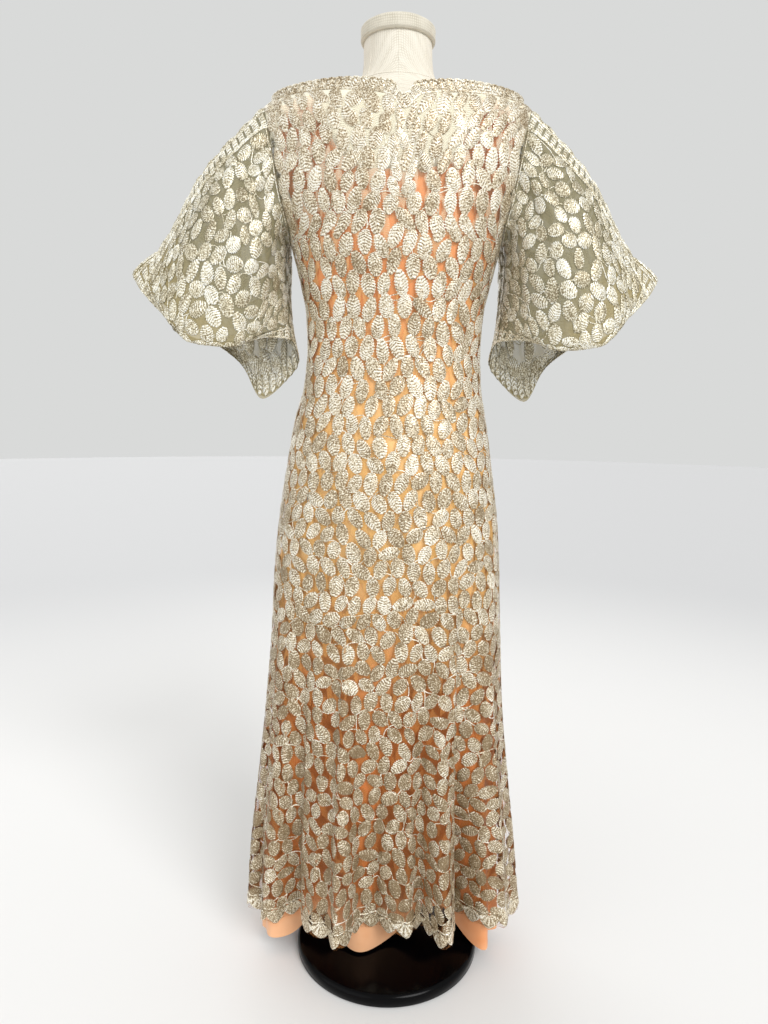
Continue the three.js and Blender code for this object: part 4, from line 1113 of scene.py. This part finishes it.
# raised seams: centre back and front, the three panels a side, and the collar line of the neck
level = np.linspace(0.02, 1, 150)
seams = []
for turn in (0, 52, 90, 128, 180, 232, 270, 308):
    share = np.full(len(level), max(0.0005, turn / 360))
    seams.append(cordOn(torsoCloth, share, level, form["seam"], -0.35))
collarLevel = float(np.interp(form["collar"], heights, np.linspace(0, 1, len(heights))))
seams.append(cordOn(torsoCloth, np.linspace(0, 1, 160), np.full(160, collarLevel), form["seam"], -0.3))
points, faces, stitch = joined(seams)
addPiece("formSeams", points, faces, linen, flat=points[:, [0, 2]] * toMetres)

capProfile = (
    [(0.5, 1536.3), (52, 1536.3)] + arc(53.6, 1541, 5, -90, 0, 6) + [(58.2, 1546)]
    + arc(55.6, 1554, 3, 0, 90, 5) + arc(51, 1557.4, 2.6, 60, 150, 5) + [(46, 1557), (0.5, 1556.4)]
)
turnedPiece("formNeckCap", capProfile, 96, capLinen, ["form_neck_cap"])
baseProfile = (
    [(0.5, 0), (161, 0), (163, 2)] + arc(154, 12, 9, 0, 90, 9) + [(130, 21.4), (60, 22.0), (30, 22.5)]
    + arc(30, 28.5, 6, -90, -180, 7) + [(21, 44), (0.5, 44)]
)
turnedPiece("formBase", baseProfile, 160, blackEnamel("glossBlackEnamel", 0.12, 0.1), ["form_base"])
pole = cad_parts["form_pole"]
pole.data.materials.clear()
pole.data.materials.append(blackEnamel("satinBlackEnamel", 0.28, 0.5))
print("form made")


# what each sheet was cut from before it was sewn and hung: width and length in metres, and the cut's
# own area, which is less than the rectangle's
cuts = {
    "gownBack": (0.95, 1.40, 0.715), "gownFront": (0.94, 1.42, 0.72),
    "slipBack": (0.66, 1.41, 0.615), "slipFront": (0.65, 1.43, 0.625),
    "sleeveBack": (0.41, 0.31, 0.084), "sleeveFront": (0.46, 0.33, 0.088),
}


def cutOf(name):
    width, length, area = cuts[name]
    return (width, length), area


for name in ("back", "front"):
    flat, area = cutOf("gown" + name.title())
    flat, area = cutOf("slip" + name.title())
for sideName in ("Left", "Right"):
    for half in ("back", "front"):
        flat, area = cutOf("sleeve" + half.title())
        part = panels["sleeve" + sideName][half]
        extras = part["extras"] + ([panels["band" + sideName]] if half == "back" else [])


# the floor, the light and the camera

studio = {
    "floor": "#e3e2e1", "floorFar": "#c6c6c7", "near": 1.0, "far": 3.4, "world": "#d9dad9",
    "worldStrength": 1.0, "floorRadius": 14.0,
}
# broad soft lamps: which way they come from, how strong, how wide in degrees
lamps = {
    "keyLight": {"toward": (0.55, -0.85, 0.75), "strength": 1.9, "spread": 30},
    "fillLight": {"toward": (-0.9, -0.8, 0.4), "strength": 0.5, "spread": 60},
    "backLight": {"toward": (-0.4, 0.9, 0.6), "strength": 0.8, "spread": 60},
}

angles = np.radians(np.linspace(0, 360, 97)[:-1])
edge = np.stack([np.cos(angles), np.sin(angles), 0 * angles], axis=1) * studio["floorRadius"]
mesh = bpy.data.meshes.new("floor")
mesh.from_pydata([tuple(point) for point in edge], [], [tuple(range(len(edge)))])
material, tree, shader = startMaterial("paintedFloor", Roughness=0.7)
# painted light: the floor is painted paler round the form, as a painted pool of light, and darker far off
away = addNode(tree, "ShaderNodeVectorMath", {0: objectPlace(tree)}, operation="LENGTH").outputs["Value"]
share = remap(tree, away, studio["near"], studio["far"], interpolation_type="SMOOTHSTEP")
paint(tree, shader, share, [(0.0, studio["floor"]), (1.0, studio["floorFar"])])
mesh.materials.append(material)
floor = bpy.data.objects.new("floor", mesh)
bpy.context.scene.collection.objects.link(floor)

for name, look in lamps.items():
    lamp = bpy.data.lights.new(name, "SUN")
    lamp.energy, lamp.angle = look["strength"], math.radians(look["spread"])
    light = bpy.data.objects.new(name, lamp)
    light.rotation_euler = Vector(look["toward"]).to_track_quat("Z", "Y").to_euler()
    bpy.context.scene.collection.objects.link(light)
world = bpy.data.worlds.new("studioWorld")
world.use_nodes = True
sky = world.node_tree.nodes["Background"]
sky.inputs["Color"].default_value = hexColour(studio["world"])
sky.inputs["Strength"].default_value = studio["worldStrength"]
bpy.context.scene.world = world
bpy.context.scene.view_settings.view_transform = "Standard"

view = {"place": (-0.0136, -1.249, 0.9705), "down": 7.9, "roll": 0.66, "lens": 26.0}
lens = bpy.data.cameras.new("camera")
lens.sensor_fit, lens.sensor_height, lens.lens = "VERTICAL", 36, view["lens"]
camera = bpy.data.objects.new("camera", lens)
turn = Matrix.Rotation(math.radians(90 - view["down"]), 4, "X")
roll = Matrix.Rotation(math.radians(view["roll"]), 4, "Z")
camera.matrix_world = Matrix.Translation(view["place"]) @ turn @ roll
bpy.context.scene.collection.objects.link(camera)
bpy.context.scene.camera = camera
print("studio made")
